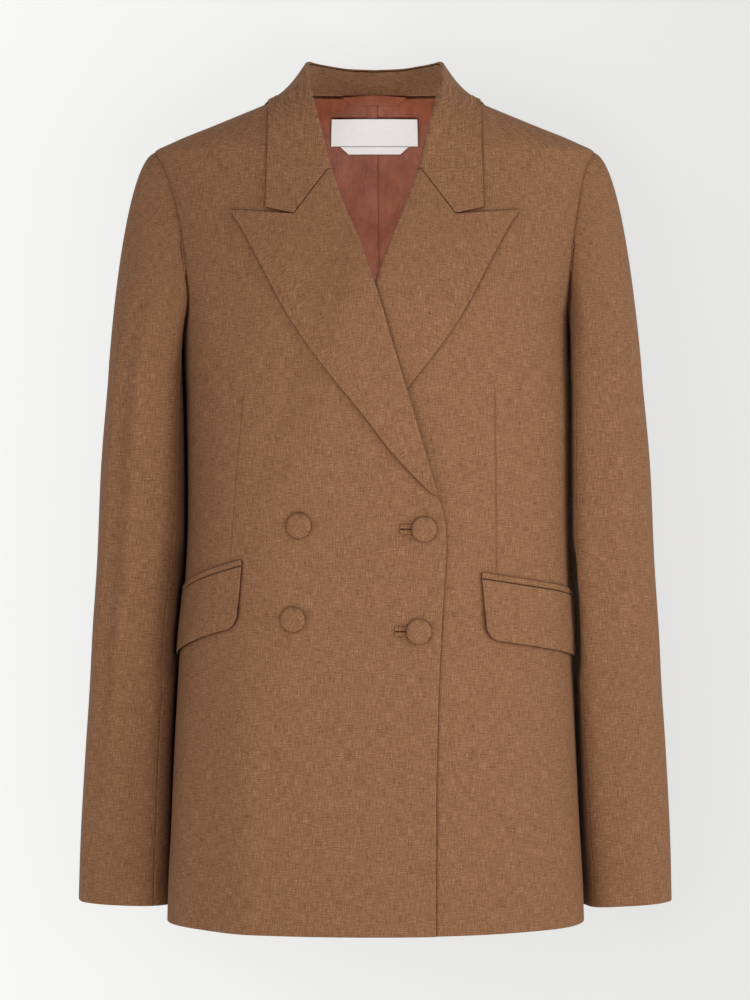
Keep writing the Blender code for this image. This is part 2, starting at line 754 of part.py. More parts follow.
# ---- sleeves -------------------------------------------------------------------------------
ROUND = 24
CAP_RINGS = 7
LOWER_RINGS = [-0.300, -0.345, -0.395, -0.440, -0.485, -0.540, -0.600, -0.665, -0.7285]
TOP_SLEEVE = (-8, 9)  # steps round the sleeve, 0 outermost, 6 at the front
UNDER_SLEEVE = (9, 16)


def along_line(points, lengths, share):
    """The entry of a line at a share of its length."""
    wanted = share * lengths[-1]
    index = max(i for i in range(len(lengths) - 1) if lengths[i] <= wanted + 1e-12)
    part = (wanted - lengths[index]) / (lengths[index + 1] - lengths[index])
    return tuple(lerp(a, b, part) for a, b in zip(points[index], points[index + 1]))


def armhole_loop():
    """Angle and height of the armhole seam at each step round the sleeve, from the shoulder point."""
    front = [(angle_at_depth(-row.front, row.z), row.z) for row in reversed(ARMHOLE)]
    back = [(angle_at_depth(row.back, row.z), row.z) for row in ARMHOLE]
    return front + back[1:-1]


def sleeve_ring(side, z, turn):
    """A point of the sleeve's wall below the armpit. turn is 0 outermost, 90 degrees in front."""
    outer = read(SLEEVE, z, "outer") - SLEEVE_WALL / 2
    depth = read(SLEEVE, z, "depth") - SLEEVE_WALL / 2
    across, ahead = math.cos(turn), math.sin(turn)
    power = 2 / (OUTER_SQUARENESS if across >= 0 else read(SLEEVE, z, "squareness"))
    y = read(SLEEVE, z, "middle_right" if side < 0 else "middle_left")
    y -= depth * math.copysign(abs(ahead) ** power, ahead)
    flap = smoothstep(-0.53, -0.51, z) * smoothstep(-0.40, -0.42, z)
    beside = body_side(y, z) + lerp(SLEEVE_CLEAR, FLAP_CLEAR, flap)
    inner = max(beside, read(SLEEVE, z, "inner") + SLEEVE_WALL / 2)
    middle = lerp(inner, outer, 0.45)
    reach = outer - middle if across >= 0 else middle - inner
    x = middle + reach * math.copysign(abs(across) ** power, across)
    tilt = CUFF_TILT * smoothstep(-0.5, -0.7285, z) * (x - middle)
    return Vector((side * x, y, z + tilt))


def body_side(y, z):
    """How far out the body's form reaches at a depth y."""
    return abs(form_point(1, angle_at_depth(y, z), z).x)


def cap_point(side, entry, step, part):
    """A point of the sleeve head: a cubic from the armhole seam down to the first whole ring."""
    angle, z = entry
    turn = 2 * math.pi * step / ROUND
    top = 0.5 + 0.5 * math.cos(turn)
    under = smoothstep(0.55, 0.30, top)
    start = on_form(side, angle, z, lerp(-SLEEVE_WALL / 2, SLEEVE_WALL / 2 + UNDERARM_LIFT, under))
    start += Vector((side * CAP_GAP * (1 - 0.7 * under), 0, 0))
    end = sleeve_ring(side, SLEEVE[-1].z, turn)
    leave = Vector((side * lerp(0.10, 0.93, top), -0.30 * math.sin(turn), -lerp(0.99, 0.37, top)))
    leave.normalize()
    pull = lerp(CAP_BOTTOM_PULL, CAP_TOP_PULL, top**0.7)
    arrive = Vector((side * 0.05, 0, -1)).normalized() * (end - start).length * 0.95
    t = part
    point = (
        start * (2 * t**3 - 3 * t**2 + 1)
        + leave * pull * (t**3 - 2 * t**2 + t)
        + end * (3 * t**2 - 2 * t**3)
        + arrive * (t**3 - t**2)
    )
    if under > 0 and part > 0:
        clear = body_side(point.y, point.z) + lerp(UNDERARM_CLEAR, SLEEVE_CLEAR, part)
        if side * point.x < clear:
            point.x = side * clear
    return point


def sleeves(material):
    loop = armhole_loop()
    for name, side in (("right", -1), ("left", 1)):
        rings = []
        for ring in range(CAP_RINGS):
            part = ring / (CAP_RINGS - 1)
            rings.append([cap_point(side, loop[step], step, part) for step in range(ROUND)])
        for z in LOWER_RINGS:
            rings.append([sleeve_ring(side, z, 2 * math.pi * step / ROUND) for step in range(ROUND)])
        normals = surface_normals(rings, closed=True)
        for part_name, (first, last) in (("top_sleeve", TOP_SLEEVE), ("under_sleeve", UNDER_SLEEVE)):
            steps = [step % ROUND for step in range(first, last + 1)]
            rows = [shrink_ends([ring[step] for step in steps], SEAM / 2) for ring in rings]
            outs = [[line[step] for step in steps] for line in normals]
            cloth(f"{part_name}_{name}", rows, SLEEVE_WALL, material, outs)


def shrink_ends(points, gap):
    """Draws the two ends of a row in, to leave room at the seams."""
    first = points[0] + (points[1] - points[0]).normalized() * gap
    last = points[-1] + (points[-2] - points[-1]).normalized() * gap
    return [first] + points[1:-1] + [last]


# ---- pockets -------------------------------------------------------------------------------
FLAP_COLUMNS = 12
FLAP_ROWS = 5


def pocket_point(name, along, down, lift):
    """A point on the front, measured back from the pocket's front end and down from its mouth."""
    side = -1 if name == "right" else 1
    pocket = POCKETS[name]
    ring_z = pocket.front_z - pocket.slope * along - down
    start = angle_at_x(pocket.front_x, ring_z)
    angle = start + along / arc_per_radian(start, ring_z, along)
    point = form_point(1, angle, ring_z)
    x = point.x
    return on_form(side, angle, ring_z, front_lift(name, x, ring_z) + lift)


def arc_per_radian(start, z, along):
    """Metres of ring for each radian, from an angle on for a stretch."""
    guess = along / section(z).half_width + 0.01
    length, previous = 0.0, form_point(1, start, z)
    for i in range(1, 7):
        here = form_point(1, start + guess * i / 6, z)
        length += (here - previous).length
        previous = here
    return length / guess


def flap_outline(share):
    """Where the flap's lower edge is at a share of its length: round front and back corners."""
    along = share * FLAP_LENGTH
    from_end = min(along, FLAP_LENGTH - along)
    if from_end >= FLAP_CORNER:
        return FLAP_DROP
    inside = FLAP_CORNER - from_end
    return FLAP_DROP - FLAP_CORNER + math.sqrt(FLAP_CORNER**2 - inside**2)


FLAP_LIFT = FLAP_WALL / 2 + 0.4 * MM
FLAP_HANG = 1.2 * MM  # how far the flap stands off more, low down
FLAP_SLANT = 4.0 * MM  # how far its front edge leans back at the bottom
WELT_LIFT = WELT_WALL / 2 + 0.3 * MM


def pockets(material):
    for name in ("right", "left"):
        stops = [0.0, 0.03, 0.09] + [lerp(0.2, 0.8, i / 6) for i in range(7)] + [0.91, 0.97, 1.0]
        rows = []
        for i in range(FLAP_ROWS + 1):
            part = i / FLAP_ROWS
            row = []
            for share in stops:
                down = flap_outline(share) * part
                slant = FLAP_SLANT * part * (1 - share)
                hang = FLAP_HANG * math.sin(math.pi * part * 0.8) * part
                row.append(pocket_point(name, share * FLAP_LENGTH + slant, down, FLAP_LIFT + hang))
            rows.append(row)
        cloth(f"pocket_flap_{name}", rows, FLAP_WALL, material)
        rows = []
        for i in range(3):
            up = SEAM + WELT_DROP * i / 2
            rows.append([pocket_point(name, share * FLAP_LENGTH, -up, WELT_LIFT) for share in stops])
        cloth(f"pocket_welt_{name}", rows, WELT_WALL, material)


# ---- buttons and buttonholes ---------------------------------------------------------------
BUTTON_PROFILE = [
    (0.0, 1.00), (0.55, 0.97), (0.84, 0.86), (0.97, 0.66), (1.0, 0.42), (0.93, 0.12), (0.80, 0.0),
]
SHANK_RADIUS = 3.0 * MM
SHANK_HEIGHT = 1.6 * MM
SHANK_CLEAR = 0.5 * MM
BUTTON_STEPS = 14


def button_place(place):
    """Where a button sits on the right front, and the way it faces."""
    own_x = -place.x
    angle = angle_at_x(own_x, place.z)
    out = outward(-1, angle, place.z)
    return on_form(-1, angle, place.z, front_lift("right", own_x, place.z)), out


def buttons(material):
    for name, place in BUTTONS.items():
        profile = [(BUTTON_RADIUS * r, SHANK_HEIGHT + BUTTON_DEPTH * h) for r, h in BUTTON_PROFILE]
        profile += [(SHANK_RADIUS, SHANK_HEIGHT), (SHANK_RADIUS, 0.0), (0.0, 0.0)]
        mesh = bmesh.new()
        line = [mesh.verts.new((r, 0, h)) for r, h in profile]
        for first, second in zip(line, line[1:]):
            mesh.edges.new((first, second))
        data = bpy.data.meshes.new(name)
        mesh.to_mesh(data)
        mesh.free()
        made = add_object(name, data, material)
        screw = made.modifiers.new("turned", "SCREW")
        screw.steps = screw.render_steps = BUTTON_STEPS
        screw.use_merge_vertices = True
        screw.merge_threshold = 0.00001
        point, out = button_place(place)
        made.location = point + out * SHANK_CLEAR
        made.rotation_euler = out.to_track_quat("Z", "Y").to_euler()


BUTTONHOLE_LENGTH = 0.0165
BUTTONHOLE_START = 0.0205
BUTTONHOLE_HEIGHT = 0.0085
BUTTONHOLE_WALL = 0.8 * MM
BUTTONHOLE_SLIT = 0.7 * MM
BUTTONHOLE_END = 2.5 * MM
BUTTONHOLE_CLEAR = 0.3 * MM


def buttonhole(name, place, material):
    """A bound buttonhole: two lips in a window, joined at the ends, behind its button's shank."""
    half, slit = BUTTONHOLE_HEIGHT / 2, BUTTONHOLE_SLIT / 2
    columns = [0.0, BUTTONHOLE_END, BUTTONHOLE_LENGTH - BUTTONHOLE_END, BUTTONHOLE_LENGTH]
    mesh = bmesh.new()
    grids = []
    for face in (BUTTONHOLE_CLEAR + BUTTONHOLE_WALL, BUTTONHOLE_CLEAR):
        grid = []
        for down in (half, slit, -slit, -half):
            row = []
            for along in columns:
                x = -(place.x - BUTTONHOLE_START + along)
                z = place.z + down
                point = on_form(-1, angle_at_x(x, z), z, front_lift("right", x, z) + face)
                row.append(mesh.verts.new(point))
            grid.append(row)
        grids.append(grid)
    top, under = grids
    for j in range(3):
        for i in range(3):
            if j == 1 and i == 1:
                continue
            mesh.faces.new((top[j][i], top[j][i + 1], top[j + 1][i + 1], top[j + 1][i]))
            mesh.faces.new((under[j][i], under[j + 1][i], under[j + 1][i + 1], under[j][i + 1]))
    outside = [(0, 0), (0, 1), (0, 2), (0, 3), (1, 3), (2, 3)]
    outside += [(3, 3), (3, 2), (3, 1), (3, 0), (2, 0), (1, 0)]
    window = [(1, 1), (2, 1), (2, 2), (1, 2)]
    for loop in (outside, window):
        for (j0, i0), (j1, i1) in zip(loop, loop[1:] + loop[:1]):
            mesh.faces.new((top[j1][i1], top[j0][i0], under[j0][i0], under[j1][i1]))
    bmesh.ops.recalc_face_normals(mesh, faces=mesh.faces)
    data = bpy.data.meshes.new(name)
    mesh.to_mesh(data)
    mesh.free()
    add_object(name, data, material)


# ---- inside the back neck ------------------------------------------------------------------
INNER_FACE = LINING_LIFT - LINING_WALL / 2
LABEL_WALL = 0.6 * MM
LABEL_HALF_WIDTH = 0.0408
LABEL_TOP = -0.0140
LABEL_BOTTOM = -0.0385
TAB_HALF_TOP = 0.0322
TAB_HALF_BOTTOM = 0.0243
TAB_BOTTOM = -0.0458
LOOP_HALF_TOP = 0.0328
LOOP_HALF_BOTTOM = 0.0245
LOOP_TOP = 0.0060
LOOP_BAND = 0.0062
LOOP_WALL = 1.2 * MM
LOOP_TURN_IN = 2.0 * MM
LABEL_LIFT = 2.0 * MM + LABEL_WALL / 2
LOOP_LIFT = 1.6 * MM + LOOP_WALL / 2


def inside_back(x, z, lift):
    """A point on the inner face of the back, x to the wearer's left."""
    ring = section(z)
    share = min(1.0, abs(x) / ring.half_width)
    angle = math.pi - math.asin(share ** (ring.squareness / 2))
    return on_form(1 if x >= 0 else -1, angle, z, INNER_FACE - lift)


def band(name, half_widths, wall, lift, material):
    """A strip inside the back: a list of (z, half width) from the top down."""
    steps = 8
    rows = []
    for z, half in half_widths:
        rows.append([inside_back(lerp(-half, half, i / steps), z, lift) for i in range(steps + 1)])
    cloth(name, rows, wall, material)


def labels(lining, woven):
    label = [(lerp(LABEL_TOP, LABEL_BOTTOM, i / 3), LABEL_HALF_WIDTH) for i in range(4)]
    band("neck_label", label, LABEL_WALL, LABEL_LIFT, woven)
    tab = [(LABEL_BOTTOM - SEAM, TAB_HALF_TOP), (TAB_BOTTOM, TAB_HALF_BOTTOM)]
    band("size_tab", tab, LABEL_WALL, LABEL_LIFT, woven)
    edge = LOOP_TOP - LOOP_BAND
    loop = [
        (LOOP_TOP, LOOP_HALF_TOP),
        (edge, LOOP_HALF_BOTTOM),
        (edge - LOOP_TURN_IN, LOOP_HALF_BOTTOM - LOOP_TURN_IN),
    ]
    band("hanger_loop", loop, LOOP_WALL, LOOP_LIFT, lining)


# ---- build ---------------------------------------------------------------------------------
for old in list(bpy.data.objects):
    bpy.data.objects.remove(old)
blazer = bpy.data.collections.new("double_breasted_blazer")
bpy.context.scene.collection.children.link(blazer)

WOOL = new_material("brown_wool", (0.280, 0.130, 0.070), 0.85)
SATIN = new_material("rust_satin", (0.250, 0.080, 0.045), 0.45)
LABEL_SATIN = new_material("white_woven_label", (0.80, 0.78, 0.75), 0.60)

front_panel("right", WOOL)
front_panel("left", WOOL)
back_panels(WOOL)
lapels(WOOL)
collar(WOOL)
sleeves(WOOL)
pockets(WOOL)
buttons(WOOL)
buttonhole("buttonhole_upper", BUTTONS["button_front_upper"], WOOL)
buttonhole("buttonhole_lower", BUTTONS["button_front_lower"], WOOL)
back_lining(SATIN)
labels(SATIN, LABEL_SATIN)
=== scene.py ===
"""A double-breasted blazer with peak lapels, in fine brown wool, filled out as it is worn.

Metres, +Z up, the front faces -Y. "Right" and "left" are the wearer's, so the right front, which
lies on top, is at -X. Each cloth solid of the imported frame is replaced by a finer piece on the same
form, with its creases, seams, stitches and weave.
"""

import bpy
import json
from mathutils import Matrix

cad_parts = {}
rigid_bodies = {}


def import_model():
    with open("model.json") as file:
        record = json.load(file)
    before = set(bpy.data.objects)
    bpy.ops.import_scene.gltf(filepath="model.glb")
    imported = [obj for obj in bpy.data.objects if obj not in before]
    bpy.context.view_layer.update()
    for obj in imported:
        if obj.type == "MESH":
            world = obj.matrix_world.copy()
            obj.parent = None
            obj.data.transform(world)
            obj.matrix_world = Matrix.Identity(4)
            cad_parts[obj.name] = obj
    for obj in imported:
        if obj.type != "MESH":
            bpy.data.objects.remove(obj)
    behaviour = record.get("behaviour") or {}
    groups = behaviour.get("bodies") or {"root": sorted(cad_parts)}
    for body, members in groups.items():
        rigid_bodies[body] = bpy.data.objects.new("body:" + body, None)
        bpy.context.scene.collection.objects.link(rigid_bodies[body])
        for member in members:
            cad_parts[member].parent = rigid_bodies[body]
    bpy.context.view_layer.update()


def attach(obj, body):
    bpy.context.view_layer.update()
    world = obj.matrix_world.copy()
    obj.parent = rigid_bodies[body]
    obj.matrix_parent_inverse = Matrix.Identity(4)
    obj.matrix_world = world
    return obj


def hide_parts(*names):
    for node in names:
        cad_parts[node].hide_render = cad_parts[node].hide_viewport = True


for unused in list(bpy.data.objects):
    bpy.data.objects.remove(unused)
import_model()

import json
import math
from collections import namedtuple

import bmesh
import numpy as np
from mathutils import Vector

# ---- The fronts ---------------------------------------------------------------------------------
# Two fronts of fine wool over canvas, each with its facing inside the edge, and one dart from the
# chest to the pocket. They are patches of the body's form, which is a stack of rings. A point of
# it is an angle round the ring (0 at the centre front, 180 degrees behind) and a height.
MM = 0.001
HEM = -0.7475
HEM_RISE_AT_SIDE = 3.0 * MM
HEM_RISE_REACH = 0.10  # how far above the hem that dies away
BREAK = -0.3653  # where the lapels start to turn
GORGE = -0.0765  # where the gorge seam meets the roll line
SHOULDER_POINT = -0.055
ARMPIT = -0.215
FRONT_WALL = 2.0 * MM
SEAM = 0.4 * MM
SEWN = 0.03 * MM  # left between two pieces that are sewn edge to edge
ROLL_RADIUS = 2.0 * MM
TURNED_WALL = 1.8 * MM  # lapels and collar
EDGE_GAP = 1.0 * MM
OVERLAP_LIFT = 2.9 * MM  # the right front over the left front
LAPEL_STACK_LIFT = 3.9 * MM  # more, over the left lapel
LIFT_STARTS = 0.054  # how far beyond the left front's edge the right front starts to rise
LIFT_ENDS = 0.009  # and where it has its whole lift
STACK_STARTS = 0.020  # how far below the break it rises for the left lapel
STACK_ENDS = 0.014
RIDGE_TOP = -0.0015  # the last row of a panel, just under the shoulder seam
SIDES = {"right": -1, "left": 1}

Section = namedtuple("Section", "z half_width front_depth back_depth squareness")
FORM = [
    Section(-0.7600, 0.1866, 0.1180, 0.1100, 2.25),
    Section(-0.7180, 0.1856, 0.1178, 0.1110, 2.25),
    Section(-0.6640, 0.1830, 0.1175, 0.1110, 2.26),
    Section(-0.5920, 0.1800, 0.1170, 0.1100, 2.28),
    Section(-0.5380, 0.1778, 0.1160, 0.1070, 2.30),
    Section(-0.4840, 0.1755, 0.1150, 0.1030, 2.32),
    Section(-0.3800, 0.1712, 0.1145, 0.0950, 2.32),
    Section(-0.2800, 0.1718, 0.1210, 0.1040, 2.30),
    Section(-0.2150, 0.1740, 0.1235, 0.1115, 2.28),
    Section(-0.1600, 0.1835, 0.1130, 0.1140, 2.20),
    Section(-0.1100, 0.1915, 0.0935, 0.1120, 2.12),
    Section(-0.0765, 0.1962, 0.0790, 0.1065, 2.06),
    Section(-0.0550, 0.1980, 0.0700, 0.1015, 2.02),
    Section(-0.0460, 0.1820, 0.0670, 0.0985, 2.00),
    Section(-0.0300, 0.1430, 0.0625, 0.0920, 2.00),
    Section(-0.0142, 0.1045, 0.0570, 0.0850, 2.00),
    Section(0.0000, 0.0700, 0.0520, 0.0785, 2.00),
    Section(0.0120, 0.0440, 0.0480, 0.0760, 2.00),
]

# The armhole seam seen from the side: how far it lies in front of and behind the side seam. The
# left one is pulled back a little by the way the blazer hangs.
Armhole = namedtuple("Armhole", "z front_right front_left back")
ARMHOLE = [
    Armhole(-0.2150, 0.0000, 0.0000, 0.0000),
    Armhole(-0.2130, 0.0185, 0.0145, 0.0170),
    Armhole(-0.2065, 0.0370, 0.0255, 0.0360),
    Armhole(-0.1980, 0.0490, 0.0315, 0.0500),
    Armhole(-0.1850, 0.0530, 0.0350, 0.0585),
    Armhole(-0.1660, 0.0520, 0.0395, 0.0615),
    Armhole(-0.1475, 0.0495, 0.0400, 0.0600),
    Armhole(-0.1290, 0.0455, 0.0370, 0.0560),
    Armhole(-0.1110, 0.0400, 0.0330, 0.0500),
    Armhole(-0.0935, 0.0335, 0.0290, 0.0415),
    Armhole(-0.0765, 0.0260, 0.0240, 0.0310),
    Armhole(-0.0625, 0.0165, 0.0160, 0.0190),
    Armhole(-0.0550, 0.0000, 0.0000, 0.0000),
]
ROUND = 24  # steps round an armhole: 0 at the shoulder, 12 at the armpit

# Lines on a front. x is from the centre front towards the panel's own side.
Edge = namedtuple("Edge", "z x")
ROLL_LINE = [
    Edge(-0.3653, -0.0551),
    Edge(-0.3253, -0.0434),
    Edge(-0.2836, -0.0316),
    Edge(-0.2419, -0.0191),
    Edge(-0.2002, -0.0068),
    Edge(-0.1777, 0.0005),
    Edge(-0.1354, 0.0152),
    Edge(-0.1086, 0.0262),
    Edge(-0.0765, 0.0375),
]
FRONT_EDGE = [
    Edge(-0.7600, -0.0530),
    Edge(-0.6363, -0.0534),
    Edge(-0.5494, -0.0551),
    Edge(-0.4842, -0.0578),
    Edge(-0.4408, -0.0602),
    Edge(-0.4087, -0.0621),
    Edge(-0.3878, -0.0614),
    Edge(-0.3774, -0.0592),
    Edge(-0.3653, -0.0551),
]
Dart = namedtuple("Dart", "top bottom")
DARTS = {
    "right": Dart(Edge(-0.2605, 0.1122), Edge(-0.4150, 0.1240)),
    "left": Dart(Edge(-0.2605, 0.1052), Edge(-0.4280, 0.1070)),
}
DART_DEPTH = 0.8 * MM
DART_HALF_WIDTH = 0.9 * MM
ROW_LENGTH = 0.22  # about how long a row is from the front edge to the side seam
DART_COLUMNS = np.array([0.45, 0.9, 1.4, 2.2, 3.2]) * MM / ROW_LENGTH  # beside it, as shares of a row
DART_FADE = 0.020  # how far it takes to deepen from either end
DART_TIP = 0.004  # how far its faint start reaches past its top


def smoothstep(low, high, value):
    t = np.clip((value - low) / (high - low), 0.0, 1.0)
    return t * t * (3 - 2 * t)


def lerp(a, b, t):
    return a + (b - a) * t


def curve(table, column, at):
    """One column of a table, as a smooth curve along its first column that never overshoots."""
    keys = np.array([row[0] for row in table])
    values = np.array([getattr(row, column) for row in table])
    steps = np.diff(keys)
    rises = np.diff(values) / steps
    before, after = rises[:-1], rises[1:]
    same_way = before * after > 0
    total = np.where(same_way, before + after, 1.0)
    slopes = np.concatenate([rises[:1], np.where(same_way, 2 * before * after / total, 0.0), rises[-1:]])
    at = np.clip(at, keys[0], keys[-1])
    i = np.clip(np.searchsorted(keys, at, side="right") - 1, 0, len(keys) - 2)
    t = (at - keys[i]) / steps[i]
    return (
        (2 * t**3 - 3 * t**2 + 1) * values[i]
        + (t**3 - 2 * t**2 + t) * steps[i] * slopes[i]
        + (3 * t**2 - 2 * t**3) * values[i + 1]
        + (t**3 - t**2) * steps[i] * slopes[i + 1]
    )


def points(x, y, z):
    return np.stack(np.broadcast_arrays(x, y, z), axis=-1).astype(float)


def unit(vectors):
    return vectors / np.maximum(np.linalg.norm(vectors, axis=-1, keepdims=True), 1e-12)


def form_point(side, angle, z):
    """side is -1 on the wearer's right, 1 on the left. A negative angle is past the centre front."""
    half_width, front, back, squareness = (curve(FORM, name, z) for name in Section._fields[1:])
    power = 2 / squareness
    across, ahead = np.sin(angle), np.cos(angle)
    x = side * half_width * np.sign(across) * np.abs(across) ** power
    y = -np.sign(ahead) * np.where(ahead >= 0, front, back) * np.abs(ahead) ** power
    return points(x, y, z)


def outward(side, angle, z):
    """The form's outward normal, taken over a few millimetres so that edges stay soft."""
    turn, rise = 0.04, 0.006
    round_it = form_point(side, angle + turn, z) - form_point(side, angle - turn, z)
    up_it = form_point(side, angle, z + rise) - form_point(side, angle, z - rise)
    normal = unit(np.cross(round_it, up_it))
    here = form_point(side, angle, z)
    facing = normal[..., 0] * here[..., 0] + normal[..., 1] * here[..., 1] + 0.02 * normal[..., 2]
    return normal * np.sign(facing)[..., None]


def on_form(side, angle, z, lift):
    lift = np.asarray(lift)
    return form_point(side, angle, z) + outward(side, angle, z) * lift[..., None]


def angle_at_x(x, z):
    """The front angle of a point x from the centre, towards the panel's own side."""
    share = np.minimum(1.0, np.abs(x) / curve(FORM, "half_width", z))
    return np.sign(x) * np.arcsin(share ** (curve(FORM, "squareness", z) / 2))


def angle_at_depth(y, z):
    """The angle of a point y in front of (negative) or behind the side seam."""
    depth = np.where(y < 0, curve(FORM, "front_depth", z), curve(FORM, "back_depth", z))
    turn = np.arccos(np.minimum(1.0, np.abs(y) / depth) ** (curve(FORM, "squareness", z) / 2))
    return np.where(y < 0, turn, math.pi - turn)


def hem_z(z, angle):
    """The hem rises a little towards the sides."""
    return z + HEM_RISE_AT_SIDE * smoothstep(HEM + HEM_RISE_REACH, HEM, z) * np.sin(angle) ** 2


def armhole(side_name, step):
    """Depth and height of an armhole's seam at a step round it, on a smooth closed curve."""
    loop = [(-getattr(row, f"front_{side_name}"), row.z) for row in reversed(ARMHOLE)]
    loop += [(row.back, row.z) for row in ARMHOLE[1:-1]]
    knots = np.array(loop)
    step = np.asarray(step, float)
    i = np.floor(step).astype(int)
    t = (step - i)[..., None]
    p0, p1, p2, p3 = (knots[(i + k) % ROUND] for k in (-1, 0, 1, 2))
    place = p1 + 0.5 * t * (p2 - p0 + t * (2 * p0 - 5 * p1 + 4 * p2 - p3 + t * (3 * (p1 - p2) + p3 - p0)))
    return place[..., 0], place[..., 1]


# How much fuller than the form the cloth hangs below the chest, in millimetres: over the right
# front, and at each side, where less than nothing is drawn in.
Full = namedtuple("Full", "z chest right left")
FULL = [
    Full(-0.750, 6.5, 0.0, 4.0),
    Full(-0.600, 6.5, 0.0, 2.4),
    Full(-0.520, 6.5, -1.0, 3.0),
    Full(-0.450, 6.5, -3.0, 6.0),
    Full(-0.360, 6.5, -3.5, 7.6),
    Full(-0.280, 3.5, -2.5, 7.0),
    Full(-0.200, 0.0, 0.0, 0.0),
]
CHEST_SHARE, CHEST_REACH = 0.61, 0.20  # as shares of the form's half width
SIDE_SHARE, SIDE_REACH = {"right": 1.0, "left": 0.90}, {"right": 0.10, "left": 0.125}


def fullness(side_name, x, z):
    share = np.abs(x) / curve(FORM, "half_width", z)
    beside = np.exp(-(((share - SIDE_SHARE[side_name]) / SIDE_REACH[side_name]) ** 2))
    full = curve(FULL, side_name, z) * beside
    if side_name == "right":
        full = full + curve(FULL, "chest", z) * np.exp(-(((share - CHEST_SHARE) / CHEST_REACH) ** 2))
    return full * MM


def front_line_x(z):
    """The free edge below the break, and the roll line above it."""
    return np.where(z <= BREAK, curve(FRONT_EDGE, "x", z), curve(ROLL_LINE, "x", z))


def front_lift(side_name, x, z):
    """How far a front's outer face stands off the form: the right one lies over the left one."""
    if side_name == "left":
        return fullness(side_name, x, z)
    edge = -front_line_x(z)
    over = smoothstep(edge + LIFT_STARTS, edge + LIFT_ENDS, x)
    stacked = LAPEL_STACK_LIFT * smoothstep(BREAK - STACK_STARTS, BREAK + STACK_ENDS, z)
    return fullness(side_name, x, z) + over * (OVERLAP_LIFT + stacked)


# A crease is a soft ridge (a trough where its rise is negative) between two places on a panel.
Crease = namedtuple("Crease", "from_x from_z to_x to_z reach rise")
CREASE_STARTS = (-0.15, 0.35)  # shares of its length over which it comes up and dies away
CREASE_ENDS = (1.15, 0.65)


def relief(creases, x, z):
    total = np.zeros(np.broadcast(x, z).shape)
    for crease in creases:
        run_x, run_z = crease.to_x - crease.from_x, crease.to_z - crease.from_z
        length = math.hypot(run_x, run_z)
        along = ((x - crease.from_x) * run_x + (z - crease.from_z) * run_z) / length**2
        aside = ((x - crease.from_x) * run_z - (z - crease.from_z) * run_x) / length
        ends = smoothstep(*CREASE_STARTS, along) * smoothstep(*CREASE_ENDS, along)
        total += crease.rise * np.exp(-((aside / crease.reach) ** 2)) * ends
    return total


def turned_grain(u, v, lean):
    """Places on the flat cloth for a piece cut at an angle to the grain."""
    return np.stack([u * math.cos(lean) - v * math.sin(lean), u * math.sin(lean) + v * math.cos(lean)], -1)


def distances(grid, axis):
    """Metres along the rows (axis 1) or the columns (axis 0) of a grid of points."""
    steps = np.linalg.norm(np.diff(grid, axis=axis), axis=-1)
    start = np.zeros_like(steps[:1] if axis == 0 else steps[:, :1])
    return np.concatenate([start, np.cumsum(steps, axis=axis)], axis=axis)


def laid_flat(grid, lean=0.0):
    """A piece's places on the flat cloth, measured along its own rows and columns."""
    return turned_grain(distances(grid, 1), distances(grid, 0), lean)


EDGE_ROUND = 1.1 * MM
EDGE_SHARE = 0.12  # of its thickness that a wall keeps at its very edge


def spread(length, step, start=True, end=True):
    """Shares along a length, even but for closer ones where its start and end are rounded edges."""
    close = np.array([0, 0.06, 0.22, 0.5, 1.0]) * EDGE_ROUND / length
    first, last = close[-1] * start, 1 - close[-1] * end
    middle = np.linspace(first, last, max(4, round(length / step)))
    return np.concatenate([close[:-1] if start else [], middle, 1 - close[-2::-1] if end else []])


def edge_softness(grid):
    """The share of its thickness that a wall has at each point: rounded off at its four edges."""
    across, along = distances(grid, 1), distances(grid, 0)
    nearest = np.minimum.reduce([across, across[:, -1:] - across, along, along[-1:] - along])
    return lerp(EDGE_SHARE, 1.0, np.sqrt(1 - (1 - np.clip(nearest / EDGE_ROUND, 0, 1)) ** 2))


def link(name, data, finishes):
    for finish in finishes:
        data.materials.append(finish)
    made = bpy.data.objects.new(name, data)
    bpy.context.scene.collection.objects.link(made)
    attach(made, "root")
    return made


def mesh_of(name, vertices, faces, grain, finish_index=None):
    """A smooth mesh of quads. grain gives each vertex its place on the flat cloth, in metres."""
    data = bpy.data.meshes.new(name)
    data.from_pydata(vertices.tolist(), [], faces.tolist())
    data.polygons.foreach_set("use_smooth", np.ones(len(data.polygons), bool))
    if finish_index is not None:
        data.polygons.foreach_set("material_index", finish_index)
    corners = np.empty(len(data.loops), int)
    data.loops.foreach_get("vertex_index", corners)
    layer = data.uv_layers.new(name="UVMap")
    layer.data.foreach_set("uv", grain[corners].ravel())
    data.update()
    return data


def strips(index, after):
    """Quads between each row of point numbers and the next, from each point to the one after it."""
    return np.stack([index[:-1], after[:-1], after[1:], index[1:]], axis=-1).reshape(-1, 4)


cloth_face = {}  # each piece's outer points and normals, for what is sewn to it


